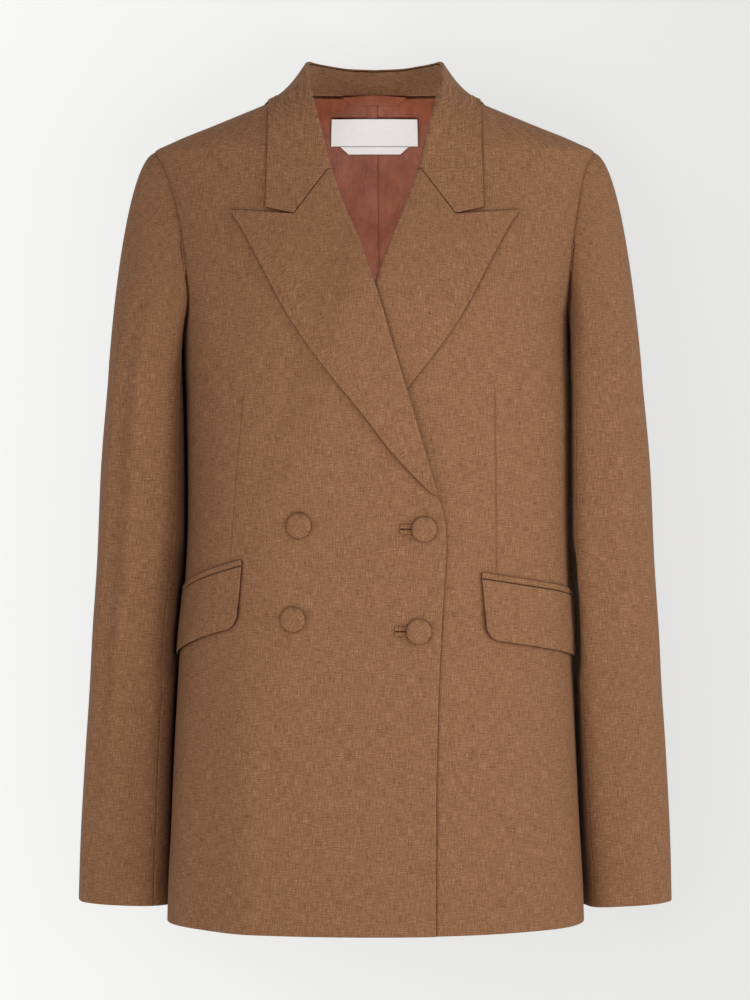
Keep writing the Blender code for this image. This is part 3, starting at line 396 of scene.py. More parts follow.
def cloth_piece(name, middle, outs, wall, finishes, grain, lined=None):
    """A wall of cloth through a grid of points, its edges rounded over. Its inner face takes the
    second finish where lined is true. outs point out of the face that shows."""
    half = (wall / 2 * edge_softness(middle))[..., None]
    rows, columns = middle.shape[:2]
    count = rows * columns
    index = np.arange(count).reshape(rows, columns)
    quads = strips(index[:, :-1], index[:, 1:])
    rim = np.concatenate([index[0, :-1], index[:-1, -1], index[-1, :0:-1], index[:0:-1, 0]])
    after = np.roll(rim, -1)
    sides = np.stack([after, rim, rim + count, after + count], axis=-1)
    faces = np.concatenate([quads, quads[:, ::-1] + count, sides])
    j, i = rows // 2, columns // 2
    facing = np.cross(middle[j, i + 1] - middle[j, i], middle[j + 1, i] - middle[j, i])
    if np.dot(facing, outs[j, i]) < 0:
        faces = faces[:, ::-1]
    cloth_face[name] = (middle + outs * half, outs)
    vertices = np.concatenate([middle + outs * half, middle - outs * half]).reshape(-1, 3)
    which = np.zeros(len(faces), int)
    if lined is not None:
        inside = lined[:-1, :-1] & lined[1:, 1:] & lined[:-1, 1:] & lined[1:, :-1]
        which[len(quads) : 2 * len(quads)] = inside.ravel()
    grain = np.tile(grain.reshape(-1, 2), (2, 1))
    return link(name, mesh_of(name, vertices, faces, grain, which), finishes)


def node(tree, kind, inputs=None, **settings):
    """Adds a shader node. An input given as another node's socket is linked, any other is set."""
    made = tree.nodes.new(kind)
    for key, value in settings.items():
        setattr(made, key, value)
    for key, value in (inputs or {}).items():
        if isinstance(value, bpy.types.NodeSocket):
            tree.links.new(value, made.inputs[key])
        else:
            made.inputs[key].default_value = value
    return made


def math_node(tree, operation, first, second):
    return node(tree, "ShaderNodeMath", {0: first, 1: second}, operation=operation).outputs[0]


def weighed(tree, *parts):
    """The sum of sockets, each times its weight."""
    scaled = [math_node(tree, "MULTIPLY", part, weight) for part, weight in parts]
    total = scaled[0]
    for more in scaled[1:]:
        total = math_node(tree, "ADD", total, more)
    return total


def new_finish(name, slot=None):
    """A material with its node tree and shader, and the name of the solids' slot that it finishes."""
    finish = bpy.data.materials.new(name)
    if slot:
        finish["slot"] = slot
    finish.use_nodes = True
    return finish, finish.node_tree, finish.node_tree.nodes["Principled BSDF"]


def uniform(shader, values):
    """Sets what is the same all over a surface, each on the shader's own socket."""
    for socket, value in values.items():
        shader.inputs[socket].default_value = value


def bumped(tree, shader, height, strength, depth):
    bump = node(tree, "ShaderNodeBump", {"Height": height, "Strength": strength, "Distance": depth})
    tree.links.new(bump.outputs["Normal"], shader.inputs["Normal"])


def flat_cloth(tree):
    return node(tree, "ShaderNodeUVMap", uv_map="UVMap").outputs["UV"]


def ramp(tree, fac, stops):
    made = node(tree, "ShaderNodeValToRGB", {"Fac": fac})
    made.color_ramp.interpolation = "EASE"
    ends = made.color_ramp.elements
    while len(ends) < len(stops):
        ends.new(0.5)
    for end, (place, colour) in zip(ends, stops):
        end.position = place
        end.color = (*colour, 1.0)
    return made.outputs["Color"]


def yarns(tree, cloth, pitch_across, pitch_along, shift):
    """Noise drawn out along one yarn direction: the uneven, two-tone yarn as it lies in the cloth."""
    scale = (1 / pitch_across, 1 / pitch_along, 1.0)
    laid = node(tree, "ShaderNodeMapping", {"Vector": cloth, "Scale": scale, "Location": (shift, shift, 0)})
    settings = {"Vector": laid.outputs["Vector"], "Scale": 1.0, "Detail": 3.0, "Roughness": 0.65}
    return node(tree, "ShaderNodeTexNoise", settings).outputs[0]


WOOL_DARK = (0.092, 0.038, 0.015)
WOOL_MIDDLE = (0.215, 0.101, 0.049)
WOOL_LIGHT = (0.336, 0.179, 0.098)
SATIN_DARK = (0.145, 0.034, 0.016)
SATIN_LIGHT = (0.335, 0.102, 0.052)
PAINTED_SHADE_TINT = (0.30, 0.16, 0.10)  # painted shade: what is left of the colour where cloth lies close on cloth
PAINTED_SHADE_REACH = 4.0 * MM
YARN_PITCH = 0.55 * MM


# Painted shade: an occlusion node darkens the colour wherever cloth lies within a few millimetres of cloth,
# in creases, under edges and in the gaps between pieces.
def painted_crevice_shade(tree, colour):
    openness = node(tree, "ShaderNodeAmbientOcclusion", {"Distance": PAINTED_SHADE_REACH}, samples=4).outputs["AO"]
    shade_tint = ramp(tree, openness, [(0.45, PAINTED_SHADE_TINT), (0.92, (1.0, 1.0, 1.0))])
    sockets = {"Factor": 1.0, 6: colour, 7: shade_tint}  # 6 and 7 are its two colours
    return node(tree, "ShaderNodeMix", sockets, data_type="RGBA", blend_type="MULTIPLY").outputs[2]


def brown_wool():
    """Fine wool suiting: light and dark fibres spun into each yarn, woven plain, with a dry face, and
    painted shade where cloth lies close on cloth.
    """
    finish, tree, shader = new_finish("wool_suiting", "brown_wool")
    cloth = flat_cloth(tree)
    warp = yarns(tree, cloth, 0.9 * MM, 11 * MM, 3.0)
    weft = yarns(tree, cloth, 9 * MM, 0.9 * MM, 7.0)
    fibre = yarns(tree, cloth, 0.8 * MM, 0.8 * MM, 11.0)
    patch = yarns(tree, cloth, 16 * MM, 22 * MM, 2.0)
    fine = weighed(tree, (warp, 0.27), (weft, 0.27), (fibre, 0.46))
    tone = weighed(tree, (fine, 0.96), (patch, 0.04))
    colour = ramp(tree, tone, [(0.394, WOOL_DARK), (0.5, WOOL_MIDDLE), (0.606, WOOL_LIGHT)])
    tree.links.new(painted_crevice_shade(tree, colour), shader.inputs["Base Color"])
    bands = {"Vector": cloth, "Scale": 2 * math.pi / (20 * YARN_PITCH)}
    waves = (node(tree, "ShaderNodeTexWave", bands, bands_direction=way) for way in "XY")
    weave = math_node(tree, "MAXIMUM", *(wave.outputs["Fac"] for wave in waves))
    height = math_node(tree, "ADD", math_node(tree, "MULTIPLY", weave, 0.5), fine)
    bumped(tree, shader, height, 0.35, 0.25 * MM)
    uniform(shader, {"Roughness": 0.86, "Specular IOR Level": 0.12})
    uniform(shader, {"Sheen Weight": 0.02, "Sheen Roughness": 0.5, "Sheen Tint": (1.0, 0.86, 0.72, 1.0)})
    return finish


def rust_satin():
    """Lining satin, smooth and close, with a faint rib and a soft gloss, and painted shade where cloth lies
    close on cloth.
    """
    finish, tree, shader = new_finish("lining_satin", "rust_satin")
    cloth = flat_cloth(tree)
    rib = yarns(tree, cloth, 0.5 * MM, 14 * MM, 5.0)
    cloud = yarns(tree, cloth, 16 * MM, 26 * MM, 9.0)
    tone = weighed(tree, (rib, 0.45), (cloud, 0.55))
    colour = ramp(tree, tone, [(0.25, SATIN_DARK), (0.75, SATIN_LIGHT)])
    tree.links.new(painted_crevice_shade(tree, colour), shader.inputs["Base Color"])
    bumped(tree, shader, rib, 0.2, 0.1 * MM)
    uniform(shader, {"Roughness": 0.45, "Specular IOR Level": 0.12, "Sheen Weight": 0.02})
    return finish


WOOL = brown_wool()
SATIN = rust_satin()

# Each row of a front runs from its free edge or roll line to the side seam, armhole or shoulder.
# Its height at both ends, up the armhole and up the shoulder:
Climb = namedtuple("Climb", "step inner")
FRONT_ARMHOLE_ROWS = [
    Climb(0, -0.1050),
    Climb(2, -0.1215),
    Climb(4, -0.1410),
    Climb(6, -0.1600),
    Climb(8, -0.1790),
    Climb(10, -0.1970),
    Climb(12, -0.2150),
]
FRONT_CREASES = {
    "right": [
        Crease(0.111, -0.505, 0.113, -0.800, 0.018, 3.4 * MM),
        Crease(0.150, -0.500, 0.152, -0.800, 0.020, -2.0 * MM),
        Crease(0.148, -0.240, 0.150, -0.400, 0.012, -1.2 * MM),
        Crease(0.060, -0.480, 0.095, -0.530, 0.008, 0.9 * MM),
        Crease(0.035, -0.285, 0.015, -0.365, 0.012, -0.7 * MM),
        Crease(-0.035, -0.362, -0.052, -0.395, 0.006, -0.5 * MM),
    ],
    "left": [
        Crease(0.160, -0.240, 0.130, -0.330, 0.012, -0.7 * MM),
        Crease(0.135, -0.270, 0.118, -0.345, 0.010, 0.5 * MM),
        Crease(0.115, -0.520, 0.120, -0.745, 0.020, 0.8 * MM),
    ],
}
FACING_WIDTH = 0.075
HEM_TURNED_UP = 0.032
BEHIND_ROLL = (ROLL_RADIUS + TURNED_WALL / 2 + EDGE_GAP) * 1.08  # a little more, as the line slants
TURN_STARTS = 0.002  # how far below the break the edge leaves the free edge's line
TURN_ENDS = 0.008
FRONT_STEP = 4.2 * MM  # between rows
ROWS_AT_ARMHOLE = 52
SHOULDER_LENGTH = 0.130
TO_DART, FROM_DART = 0.17, 0.07  # about how long a row is on each side of the dart
FAN_STARTS = -0.14  # above here the columns run straight up to the shoulder


def front_inner_x(z):
    """The free edge below the break, and the cut hidden behind the roll above it."""
    return front_line_x(z) + BEHIND_ROLL * smoothstep(BREAK - TURN_STARTS, BREAK + TURN_ENDS, z)


def front_ends(name):
    """For each row of a front: the height at its inner end, and the depth and height at its outer."""
    up_side = lerp(HEM, ARMPIT, spread(ARMPIT - HEM, FRONT_STEP, end=False)[:-1])
    steps = np.linspace(ROUND / 2, 0, ROWS_AT_ARMHOLE)
    armhole_y, armhole_z = armhole(name, steps)
    inner = curve(FRONT_ARMHOLE_ROWS, "inner", steps)
    up_shoulder = spread(SHOULDER_LENGTH, 5.0 * MM, start=False)[1:]
    inner_z = np.concatenate([up_side, inner, lerp(inner[-1], GORGE, up_shoulder)])
    outer_z = np.concatenate([up_side, armhole_z, lerp(SHOULDER_POINT, RIDGE_TOP, up_shoulder)])
    outer_y = np.concatenate([0 * up_side, np.minimum(armhole_y, 0.0), 0 * up_shoulder])
    return inner_z, np.minimum(outer_y, -SEWN), outer_z


def dart_x(dart, z):
    share = np.clip((z - dart.top.z) / (dart.bottom.z - dart.top.z), 0, 1)
    return lerp(dart.top.x, dart.bottom.x, share)


def dart_fade(dart, z):
    from_top = smoothstep(dart.top.z + DART_TIP, dart.top.z - DART_FADE, z)
    return from_top * smoothstep(dart.bottom.z - DART_FADE, dart.bottom.z, z)


def front_grid(name):
    """Angles and heights of a front's points. One line of columns runs down the dart."""
    dart = DARTS[name]
    inner_z, outer_y, outer_z = front_ends(name)
    inner_x = front_inner_x(inner_z)
    inner = angle_at_x(inner_x, inner_z)
    outer = angle_at_depth(outer_y, outer_z)
    outer_x = np.abs(form_point(1, outer, outer_z)[..., 0])
    at = np.clip(inner_z, dart.bottom.z, dart.top.z)
    start = angle_at_x(front_inner_x(at), at)
    dart_at = ((angle_at_x(dart_x(dart, at), at) - start) / (math.pi / 2 - start))[:, None]
    to_dart = spread(TO_DART, 2.0 * MM, end=False)
    past_dart = spread(FROM_DART, 2.4 * MM, start=False)
    shares = np.concatenate(
        [
            to_dart * (dart_at - DART_COLUMNS[-1]),
            dart_at - DART_COLUMNS[-2::-1],
            dart_at,
            dart_at + DART_COLUMNS[:-1],
            lerp(dart_at + DART_COLUMNS[-1], 1.0, past_dart),
        ],
        axis=1,
    )
    z = lerp(inner_z[:, None], outer_z[:, None], shares)
    by_angle = lerp(inner[:, None], outer[:, None], shares)
    by_x = angle_at_x(lerp(inner_x[:, None], outer_x[:, None], shares), z)
    by_x = np.where(shares >= 1, outer[:, None], by_x)
    fan = smoothstep(FAN_STARTS, GORGE, inner_z)[:, None]
    return lerp(by_angle, by_x, fan), z


def front_piece(name):
    side = SIDES[name]
    angle, z = front_grid(name)
    x = np.abs(form_point(1, angle, z)[..., 0]) * np.where(angle >= 0, 1, -1)
    lift = front_lift(name, x, z) - FRONT_WALL / 2 + relief(FRONT_CREASES[name], x, z)
    dart = DARTS[name]
    off_dart = np.abs(x - dart_x(dart, z))
    lift -= DART_DEPTH * dart_fade(dart, z) * np.clip(1 - off_dart / DART_HALF_WIDTH, 0, 1)
    middle = on_form(side, angle, hem_z(z, angle), lift)
    outs = outward(side, angle, z)
    grain = np.stack([x[:, :1] + distances(middle, 1), z], axis=-1)
    lined = (grain[..., 0] > x[:, :1] + FACING_WIDTH) & (z > HEM + HEM_TURNED_UP)
    return cloth_piece(f"front_{name}_cloth", middle, outs, FRONT_WALL, [WOOL, SATIN], grain, lined)


for side_name in SIDES:
    front = front_piece(side_name)
    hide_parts(f"front_{side_name}")

# ---- The backs and their lining -----------------------------------------------------------------
# Two back halves of the same wool, joined down the centre back, with a satin lining that hangs just
# inside them. The lining has a pleat at the centre back, for ease.
BACK_NECK_RISE = 5.0 * MM
BACK_WALL = 1.8 * MM
LINING_WALL = 1.0 * MM
LINING_BOTTOM = HEM + 0.025
LINING_LIFT = -BACK_WALL - SEAM - LINING_WALL / 2
FULL_BEHIND = 0.045  # how far behind the side seam the fronts' fullness dies away
SHOULDER_RISE = 0.0535  # from the shoulder point to the neck
BACK_ROWS_AT_ARMHOLE = 46
HALF_BACK = 0.20  # about how wide it is, for its columns
NECK_CURVE_BOTTOM = -0.05  # above here the back's rows rise towards its centre
PLEAT_LAP = 3.0 * MM
PLEAT_RISE = LINING_WALL + 0.4 * MM
PLEAT_FULL = 4 * MM  # how far from the centre its lip keeps its full rise, and where that ends
PLEAT_END = 9 * MM
BACK_CREASES = [  # x is the distance from the centre back
    Crease(0.150, -0.230, 0.120, -0.360, 0.013, 1.0 * MM),
    Crease(0.125, -0.250, 0.100, -0.340, 0.010, -0.7 * MM),
    Crease(0.080, -0.420, 0.095, -0.700, 0.022, 1.2 * MM),
    Crease(0.130, -0.470, 0.135, -0.730, 0.015, -0.9 * MM),
    Crease(0.020, -0.360, 0.070, -0.395, 0.009, 0.6 * MM),
    Crease(0.060, -0.060, 0.110, -0.110, 0.016, 0.6 * MM),
]
LINING_FOLDS = [
    Crease(0.014, -0.020, 0.017, -0.300, 0.006, -1.8 * MM),
    Crease(0.034, -0.055, 0.052, -0.260, 0.007, -1.8 * MM),
    Crease(0.062, -0.090, 0.085, -0.330, 0.010, -2.0 * MM),
    Crease(0.012, -0.300, 0.014, -0.700, 0.009, -0.8 * MM),
    Crease(0.070, -0.380, 0.060, -0.690, 0.014, -1.0 * MM),
    Crease(0.130, -0.300, 0.120, -0.620, 0.016, -0.9 * MM),
]


def back_grid(side_name, bottom, past_centre, row_step, column_step):
    """Points on the form for a back half, from the side to the centre back or past it, and their
    normals."""
    up_side = lerp(bottom, ARMPIT, spread(ARMPIT - bottom, row_step, end=False)[:-1])
    armhole_y, armhole_z = armhole(side_name, np.linspace(ROUND / 2, ROUND, BACK_ROWS_AT_ARMHOLE))
    up_neck = lerp(SHOULDER_POINT, RIDGE_TOP, spread(SHOULDER_RISE, 3.5 * MM, start=False)[1:])
    z = np.concatenate([up_side, armhole_z, up_neck])[:, None]
    depth = np.concatenate([0 * up_side, armhole_y, 0 * up_neck])
    outer = angle_at_depth(np.maximum(depth, SEWN), z[:, 0])[:, None]
    centre = math.pi + past_centre / curve(FORM, "half_width", z)
    shares = spread(HALF_BACK, column_step)
    angle = lerp(outer, centre, shares)
    rise = BACK_NECK_RISE * np.sin(shares * math.pi / 2) * smoothstep(NECK_CURVE_BOTTOM, RIDGE_TOP, z)
    middle = form_point(SIDES[side_name], angle, hem_z(z + 0 * angle, angle) + rise)
    return middle, outward(SIDES[side_name], angle, z + rise)


def back_piece(name, side_name, bottom, past_centre, lift, wall, finish, folds, steps):
    side = SIDES[side_name]
    middle, outs = back_grid(side_name, bottom, past_centre, *steps)
    x, z = side * middle[..., 0], middle[..., 2]
    full = fullness(side_name, x, z) * smoothstep(FULL_BEHIND, 0.0, middle[..., 1])
    middle = middle + outs * (lift + full + relief(BACK_CREASES, x, z) + folds(x, z))[..., None]
    grain = np.stack([side * x, z], axis=-1)
    return cloth_piece(name, middle, outs, wall, [finish], grain)


def no_folds(x, z):
    return 0 * x


def lining_folds(x, z):
    """Soft folds that stand away from the back."""
    return relief(LINING_FOLDS, x, z)


def pleated_folds(x, z):
    """The same, and the pleat's lip, which laps over the other half at the centre."""
    return lining_folds(x, z) - PLEAT_RISE * smoothstep(PLEAT_END, PLEAT_FULL, x)


LINING_KINDS = {"right": (PLEAT_LAP, pleated_folds), "left": (-SEWN, lining_folds)}
for side_name in SIDES:
    name, steps = f"back_{side_name}_cloth", (4.5 * MM, 2.6 * MM)
    back = back_piece(name, side_name, HEM, -SEWN, -BACK_WALL / 2, BACK_WALL, WOOL, no_folds, steps)
    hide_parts(f"back_{side_name}")
    past, folds = LINING_KINDS[side_name]
    name, steps = f"back_lining_{side_name}_satin", (5.0 * MM, 3.0 * MM)
    lining = back_piece(name, side_name, LINING_BOTTOM, past, LINING_LIFT, LINING_WALL, SATIN, folds, steps)
    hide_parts(f"back_lining_{side_name}")

# ---- The lapels ---------------------------------------------------------------------------------
# Each lapel is its front turned back over a soft roll, faced with the same wool. Its peak points up
# to the shoulder, and a row of pick stitches follows its outer edge.
LAPEL_EDGE = [
    Edge(-0.3653, -0.0533),
    Edge(-0.3594, -0.0468),
    Edge(-0.3499, -0.0373),
    Edge(-0.3362, -0.0246),
    Edge(-0.3204, -0.0110),
    Edge(-0.2993, 0.0048),
    Edge(-0.2558, 0.0393),
    Edge(-0.2180, 0.0675),
    Edge(-0.1932, 0.0825),
    Edge(-0.1586, 0.1005),
    Edge(-0.1260, 0.1180),
    Edge(-0.1115, 0.1275),
]
NOTCH = Edge(-0.1170, 0.0704)  # where the gorge seam ends and the collar parts from the lapel
NOTCH_SHARE = 3 / 8  # how far across the lapel's top edge that is
LAPEL_START = 0.012  # a share of the way from the break to the gorge
LAPEL_LIE = 3.1 * MM  # from the middle of the front's wall to the lapel's
ROLL_POINTS = 12
LAPEL_LEAN = math.radians(-12)
ROLL_OPENS = (-0.06, 0.05)  # shares of its height over which the roll opens to its full radius
LAPEL_ROW = 0.30  # about how long its longest row and its column to the notch are
PAST_NOTCH = 0.055
BEND_STARTS = 0.55  # the share of its height above which its rows bend to the notched top edge


def roll_frame(side_name, z):
    """On the roll line: the middle of the front's wall, the way back, the way out and along."""
    side = SIDES[side_name]
    step = 0.002
    line = [form_point(side, angle_at_x(curve(ROLL_LINE, "x", at), at), at) for at in (z - step, z + step)]
    along = unit(line[1] - line[0])
    x = curve(ROLL_LINE, "x", z)
    angle = angle_at_x(x, z)
    out = outward(side, angle, z)
    back = unit(np.cross(along, out))
    back = back * np.sign(back[..., :1] * side)
    lift = front_lift(side_name, x, z) - FRONT_WALL / 2
    return on_form(side, angle, z, lift), back, out, along


def roll_points(side_name, z, radius):
    """Half a turn from behind the roll to its face, for each height of an array."""
    start, back, out, _ = (part[:, None] for part in roll_frame(side_name, z))
    turn = np.linspace(-math.pi / 2, math.pi / 2, ROLL_POINTS)[:, None]
    radius = np.broadcast_to(radius, z.shape)[:, None, None]
    inward = TURNED_WALL / 2 + ROLL_RADIUS - radius * np.cos(turn)
    return start + back * inward + out * (ROLL_RADIUS + radius * np.sin(turn))


def resting(side_name, x, z, across):
    """Points of a lapel or collar lying on a front: high by the roll, close at the outer edge."""
    lie = lerp(LAPEL_LIE, 2 * ROLL_RADIUS, (1 - across) ** 2)
    lift = front_lift(side_name, x, z) - FRONT_WALL / 2 + lie
    return on_form(SIDES[side_name], angle_at_x(x, z), z, lift)


def rolled_x(z):
    """Where a lapel comes round from its roll and sets out across the front."""
    return curve(ROLL_LINE, "x", z) + TURNED_WALL / 2 + ROLL_RADIUS


def top_edge(end, notch_share, part):
    """The lapel's or collar's edge along the gorge seam to the notch, and on to its corner."""
    start_x = rolled_x(GORGE)
    first, second = part / notch_share, (part - notch_share) / (1 - notch_share)
    past = part > notch_share
    z = np.where(past, lerp(NOTCH.z, end.z, second), lerp(GORGE, NOTCH.z, first))
    return z, np.where(past, lerp(NOTCH.x, end.x, second), lerp(start_x, NOTCH.x, first)), start_x


def lapel_grid(side_name):
    shares = lerp(LAPEL_START, 1.0, spread(LAPEL_ROW, 3.2 * MM))[:, None]
    z = lerp(BREAK, GORGE, shares)
    edge_z = lerp(LAPEL_EDGE[0].z, LAPEL_EDGE[-1].z, shares)
    start_x = rolled_x(z)
    edge_x = curve(LAPEL_EDGE, "x", edge_z)
    to_notch = np.linspace(0, NOTCH_SHARE, 24)[1:]
    to_edge = lerp(NOTCH_SHARE, 1.0, spread(PAST_NOTCH, 1.6 * MM, start=False)[1:])
    part = np.concatenate([to_notch, to_edge])
    bent_z, bent_x, top_start = top_edge(LAPEL_EDGE[-1], NOTCH_SHARE, part)
    bend = smoothstep(BEND_STARTS, 1.0, shares)
    across = lerp(part, (bent_x - top_start) / (LAPEL_EDGE[-1].x - top_start), bend)
    x = lerp(start_x, edge_x, across)
    at_z = lerp(z, edge_z, across)
    straight_x = lerp(start_x, LAPEL_EDGE[-1].x, across)
    straight_z = lerp(GORGE, LAPEL_EDGE[-1].z, across)
    x = x + (bent_x - straight_x) * bend
    at_z = at_z + (bent_z - straight_z) * bend
    radius = ROLL_RADIUS * smoothstep(*ROLL_OPENS, shares[:, 0])
    rolled = roll_points(side_name, z[:, 0], radius)
    return np.concatenate([rolled, resting(side_name, x, at_z, across)], axis=1)


def grid_normals(grid):
    """Unit normals of a grid of points, by differences along its rows and across them."""
    return unit(np.cross(np.gradient(grid, axis=1), np.gradient(grid, axis=0)))


STITCH_INSET = 5.0 * MM
STITCH_SINK = 0.25 * MM
STITCH_SPREAD = 1.6 * MM  # how wide the sunk line is


def stitched(grid, outs):
    """Draws the cloth in along the line of stitches inside its outer edge."""
    from_edge = distances(grid[:, ::-1], 1)[:, ::-1]
    sunk = STITCH_SINK * np.exp(-(((from_edge - STITCH_INSET) / STITCH_SPREAD) ** 2))
    return grid - outs * sunk[..., None]


def outer_face(grid, outs, side_name):
    """Turns a lapel's normals so that they point away from the front that it lies on."""
    j, i = len(grid) // 2, -4
    away = outward(SIDES[side_name], angle_at_x(abs(grid[j, i, 0]), grid[j, i, 2]), grid[j, i, 2])
    return outs * np.sign(np.dot(outs[j, i], away))


for side_name in SIDES:
    grid = lapel_grid(side_name)
    outs = outer_face(grid, grid_normals(grid), side_name)
    grid = stitched(grid, outs)
    name, grain = f"lapel_{side_name}_cloth", laid_flat(grid, LAPEL_LEAN)
    lapel = cloth_piece(name, grid, outs, TURNED_WALL, [WOOL], grain)
    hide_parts(f"lapel_{side_name}")

# ---- The collar ---------------------------------------------------------------------------------
# A shirt-like collar in two parts: a stand sewn to the neck, and a fall that turns over it and
# meets each lapel along the gorge seam. Its fold line runs from the centre back to the gorge.
Fold = namedtuple("Fold", "share x y z")
FOLD = [
    Fold(0.00, 0.0000, 0.0840, 0.0288),
    Fold(0.10, 0.0235, 0.0805, 0.0294),
    Fold(0.20, 0.0425, 0.0690, 0.0310),
    Fold(0.30, 0.0565, 0.0480, 0.0318),
    Fold(0.40, 0.0595, 0.0240, 0.0285),
    Fold(0.50, 0.0594, 0.0000, 0.0200),
    Fold(0.60, 0.0587, -0.0225, 0.0080),
    Fold(0.70, 0.0555, -0.0410, -0.0085),
    Fold(0.80, 0.0502, -0.0575, -0.0282),
    Fold(0.90, 0.0442, -0.0675, -0.0515),
    Fold(1.00, 0.0385, -0.0762, -0.0765),
]
COLLAR_CORNER = Edge(-0.1106, 0.0955)
LEAF_BACK_Z = -0.0225  # its outer edge behind, and where that crosses the shoulder
LEAF_RIDGE_Z = -0.0098
NECK_HALF_WIDTH = 0.070
COLLAR_ROLL_RADIUS = 1.3 * MM
LEAF_SAG = 3.2  # millimetres that the fall hollows beside the neck
STAND_ENDS = 13 / 14
STAND_LAP_IN = 2.6 * MM  # behind, its lower edge laps over the top of the lining
STAND_LAP_DOWN = 2.0 * MM
CORNER_SHARE = 0.5  # how far across its last row the collar has its notch
COLLAR_PAST_NOTCH = 0.028  # about how long its end is from the notch to its corner
HALF_FALL = 0.23  # about how long its halves are, and how high the stand, for their rows
HALF_STAND = 0.21
STAND_HEIGHT = 0.022
SHOULDER_SHARE = 0.5  # how far along each half crosses the shoulder seam
ALONG_STEP = 0.01  # of a half, to either side, over which the fold's direction is taken
ROLL_GROWS = (0.55, 0.95)  # the shares of a half over which each of these changes
LAP_GROWS = (0.45, 0.30)
SAG_GROWS = (0.1, 0.4)
SAG_DIES = (0.8, 0.6)
END_TURN_CHANGES = (0.5, 0.8)
END_TURNS = (0.12, 0.02)  # of half a turn that the roll leaves open, behind and at the gorge
END_STARTS = 0.80  # where the fall starts to turn to the gorge seam
END_LENGTH = 0.20
Turn = namedtuple("Turn", "y down")  # how far down the grain is moved, from the front to behind
GRAIN_TURNS = [Turn(-0.08, -0.035), Turn(-0.02, 0.0), Turn(0.05, 0.07), Turn(0.08, 0.07)]
MIRROR = np.array([-1.0, 1.0, 1.0])


def line_on_front(top, bottom, lift, share):
    """Points at even shares of a line over a front, from near the shoulder seam down."""
    drop = np.linspace(0, 1, 161) ** 2
    z, x = lerp(top.z, bottom.z, drop), lerp(top.x, bottom.x, drop)
    line = on_form(1, angle_at_x(x, z), z, lift + 0 * z)
    length = distances(line[None], 1)[0]
    return np.stack([np.interp(share * length[-1], length, line[:, axis]) for axis in range(3)], -1)


def past_shoulder(share):
    """How far a share of a collar's half is on its way from the shoulder seam to the gorge."""
    return np.clip(share / SHOULDER_SHARE - 1, 0, 1)


def behind_and_before(share, back, front):
    return np.where((share <= SHOULDER_SHARE)[:, None], back, front)


def neck_seam(share):
    """From the centre back (0) over the shoulder seam (0.5) to the gorge (1)."""
    behind = np.clip(1 - share / SHOULDER_SHARE, 0, 1)
    rise = BACK_NECK_RISE * np.sin(behind * math.pi / 2)
    back = on_form(1, math.pi / 2 * (1 + behind), rise, 0 * share - BACK_WALL / 2)
    top, bottom = Edge(-0.0001, NECK_HALF_WIDTH), Edge(GORGE, float(front_inner_x(GORGE)))
    front = line_on_front(top, bottom, -FRONT_WALL / 2, past_shoulder(share))
    return behind_and_before(share, back, front)


def fold_point(share):
    return points(*(curve(FOLD, axis, share) for axis in "xyz"))


def fall_edge(share):
    """The collar's outer edge, resting on the back, the shoulder and the front."""
    lie = LAPEL_LIE - FRONT_WALL / 2
    part = np.clip(share / SHOULDER_SHARE, 0, 1)
    z = lerp(LEAF_BACK_Z, LEAF_RIDGE_Z, part**2)
    back = on_form(1, lerp(math.pi, math.pi / 2, part), z, lie + 0 * z)
    top = Edge(LEAF_RIDGE_Z, float(curve(FORM, "half_width", LEAF_RIDGE_Z)))
    front = line_on_front(top, COLLAR_CORNER, lie, past_shoulder(share))
    return behind_and_before(share, back, front)


def stand_clear(place, lie):
    """Moves points out until they stand clear of the body's form."""
    for _ in range(3):
        x, y, z = np.abs(place[..., 0]), place[..., 1], place[..., 2]
        beside = (x >= curve(FORM, "half_width", z)) | (z > 0)
        front = angle_at_x(x, z)
        angle = np.where(y > 0, math.pi - front, front)
        out = outward(1, angle, z)
        gap = np.sum((place - form_point(1, angle, z)) * out, axis=-1)
        place = place + out * (np.maximum(lie - gap, 0) * ~beside)[..., None]
    return place


def collar_rows(share):
    """The stand's two edges, and the fall from the stand seam over the fold to its outer edge."""
    seam, fold, edge = neck_seam(share), fold_point(share), fall_edge(share)
    ahead, before = np.minimum(share + ALONG_STEP, 1), np.maximum(share - ALONG_STEP, 0)
    along = unit(fold_point(ahead) - fold_point(before))
    along[share < ALONG_STEP] = (1, 0, 0)
    up = fold - seam
    up = unit(up - along * np.sum(up * along, axis=-1, keepdims=True))
    out = unit(np.cross(up, along))
    radius = lerp(COLLAR_ROLL_RADIUS, ROLL_RADIUS, smoothstep(*ROLL_GROWS, share))[:, None]
    end_turn = lerp(*END_TURNS, smoothstep(*END_TURN_CHANGES, share)) * math.pi
    turn = lerp(math.pi, end_turn[:, None], np.linspace(0, 1, ROLL_POINTS))[..., None]
    centre = fold - up * radius + out * radius
    rolled = centre[:, None] + radius[:, None] * (out[:, None] * np.cos(turn) + up[:, None] * np.sin(turn))
    last = rolled[:, -1]
    way = unit(edge - last)
    hollow = lerp(1.0, LEAF_SAG, smoothstep(*SAG_GROWS, share) * smoothstep(*SAG_DIES, share)) * MM
    sag = unit(out - way * np.sum(out * way, axis=-1, keepdims=True)) * hollow[:, None]
    part = FALL_PARTS[:, None]
    lie = lerp(LAPEL_LIE, 2 * ROLL_RADIUS, (1 - FALL_PARTS) ** 2) - FRONT_WALL / 2
    straight = lerp(last[:, None], edge[:, None], part) - sag[:, None] * np.sin(math.pi * part)
    fall = np.concatenate([rolled, stand_clear(straight, lie)], axis=1)
    return seam + up * SEAM, fold - up * (radius + 2 * SEAM), fall


